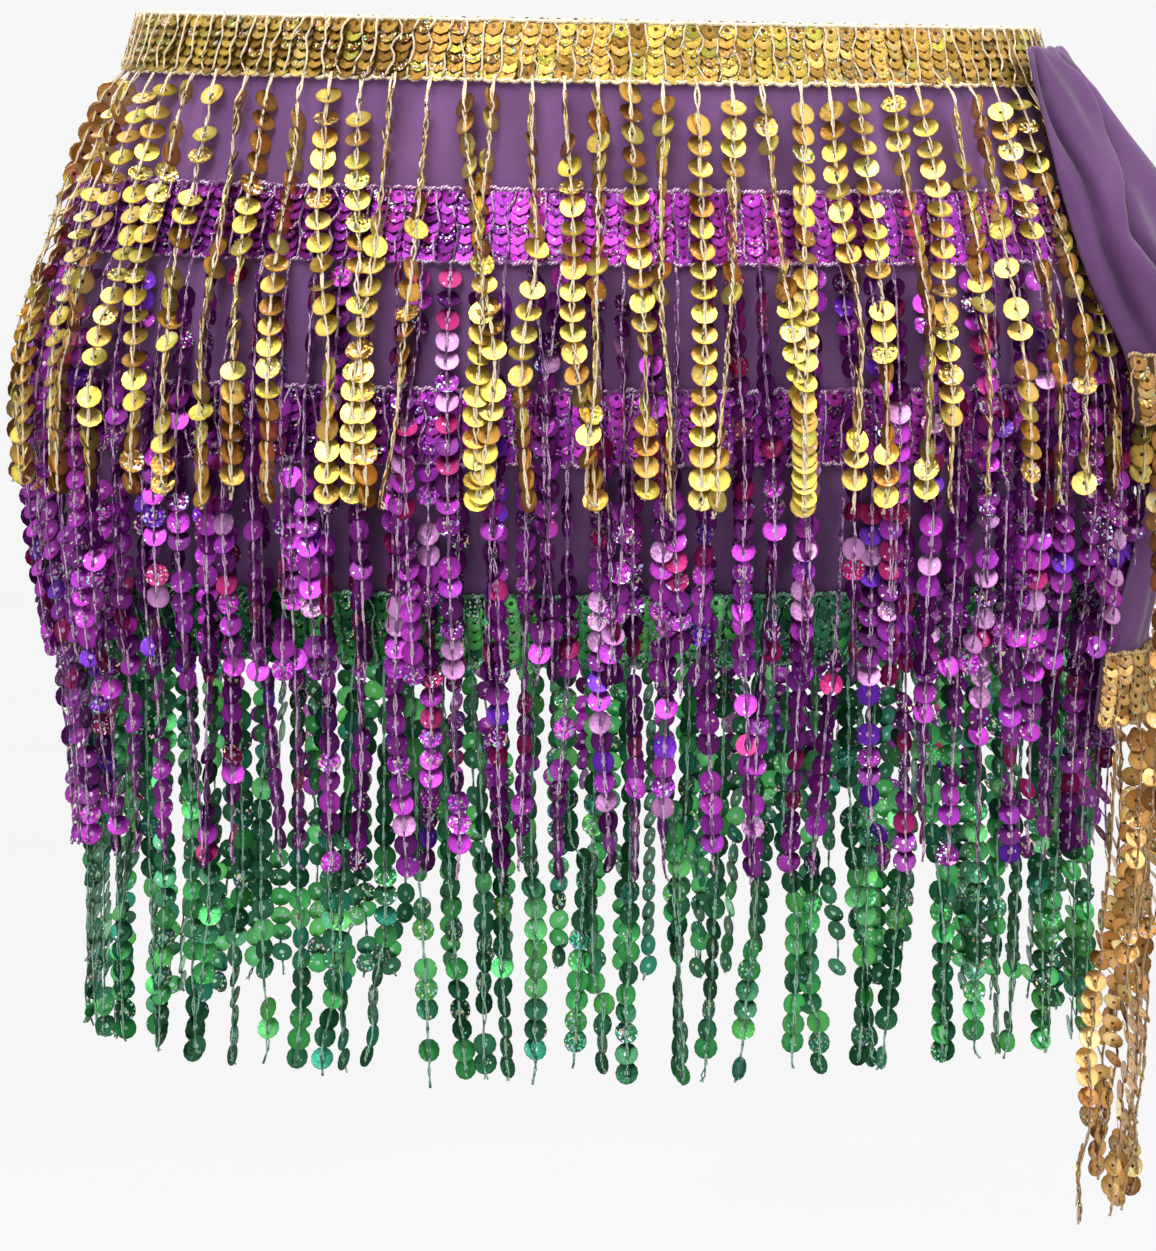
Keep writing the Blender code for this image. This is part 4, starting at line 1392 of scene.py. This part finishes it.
def make_camera():
    camera = bpy.data.cameras.new("camera")
    camera.lens = CAMERA_LENS
    camera.sensor_fit = "VERTICAL"
    camera.sensor_height = 36
    camera.dof.use_dof = False
    holder = link(bpy.data.objects.new("camera", camera))
    turn = Matrix.Rotation(math.radians(90 - CAMERA_PITCH), 4, "X")
    holder.matrix_world = Matrix.Translation(CAMERA_PLACE) @ turn
    bpy.context.scene.camera = holder


def finish_piece(obj, slot, *nodes):
    """Says which body a piece moves with, and hides the parts of the model that it stands for. Its finish's
    slot is not used.
    """
    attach(obj, "root")
    if nodes:
        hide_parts(*nodes)
    return obj


def sewn_on(rng, carrier, surface, length, lies, hang, looks, made, slot, node):
    """A tier's or a tail's trim and fringe, each piece with its body, and the part of the model that it
    stands for hidden.
    """
    height, finish, thread = looks
    pieces = trim(rng, carrier.name + "_trim", surface, length, height, finish, thread, made, lies)
    pieces += fringe(rng, carrier.name + "_strands", hang(rng, carrier), finish, thread, made)
    for piece in pieces:
        finish_piece(piece, slot, node)
    return pieces


def main():
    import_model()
    scene = bpy.context.scene
    scene.view_settings.view_transform = "Standard"
    scene.cycles.diffuse_bounces = 2
    scene.cycles.glossy_bounces = 2
    made = make_materials()

    wrap = finish_piece(wrap_cloth(made), "purple_mesh", "wrap_cloth")
    on_wrap = []
    for order, tier in enumerate(TIERS):
        rng = np.random.default_rng(SEED + order)
        length = round_hip(tier.top - tier.height) - 2 * tier.end_margin
        looks = (tier.height, tier.colours, tier.thread)
        slot = tier.colours + "_sequins"
        on_wrap += sewn_on(rng, tier, tier_surface(tier), length, TRIM_LIES, hang_tier, looks, made, slot,
                           tier.node)

    finish_piece(knot(made), "purple_chiffon", "tie_knot")
    for order, tail in enumerate((FRONT_TAIL, BACK_TAIL)):
        rng = np.random.default_rng(TAIL_SEED + order)
        cloth = finish_piece(tail_cloth(tail, made), "purple_chiffon", tail.node)
        length, looks = tail.rows[-1].width * WAVED, (TRIM_HEIGHT, "bronze", "ochre")
        pieces = sewn_on(rng, tail, tail_end(tail), length, TAIL_LIES, hang_tail, looks, made,
                         "gold_sequins", tail.node + "_fringe_trim")

    make_floor()
    make_world()
    for lamp in LAMPS:
        soft_light(*lamp)
    make_camera()


main()
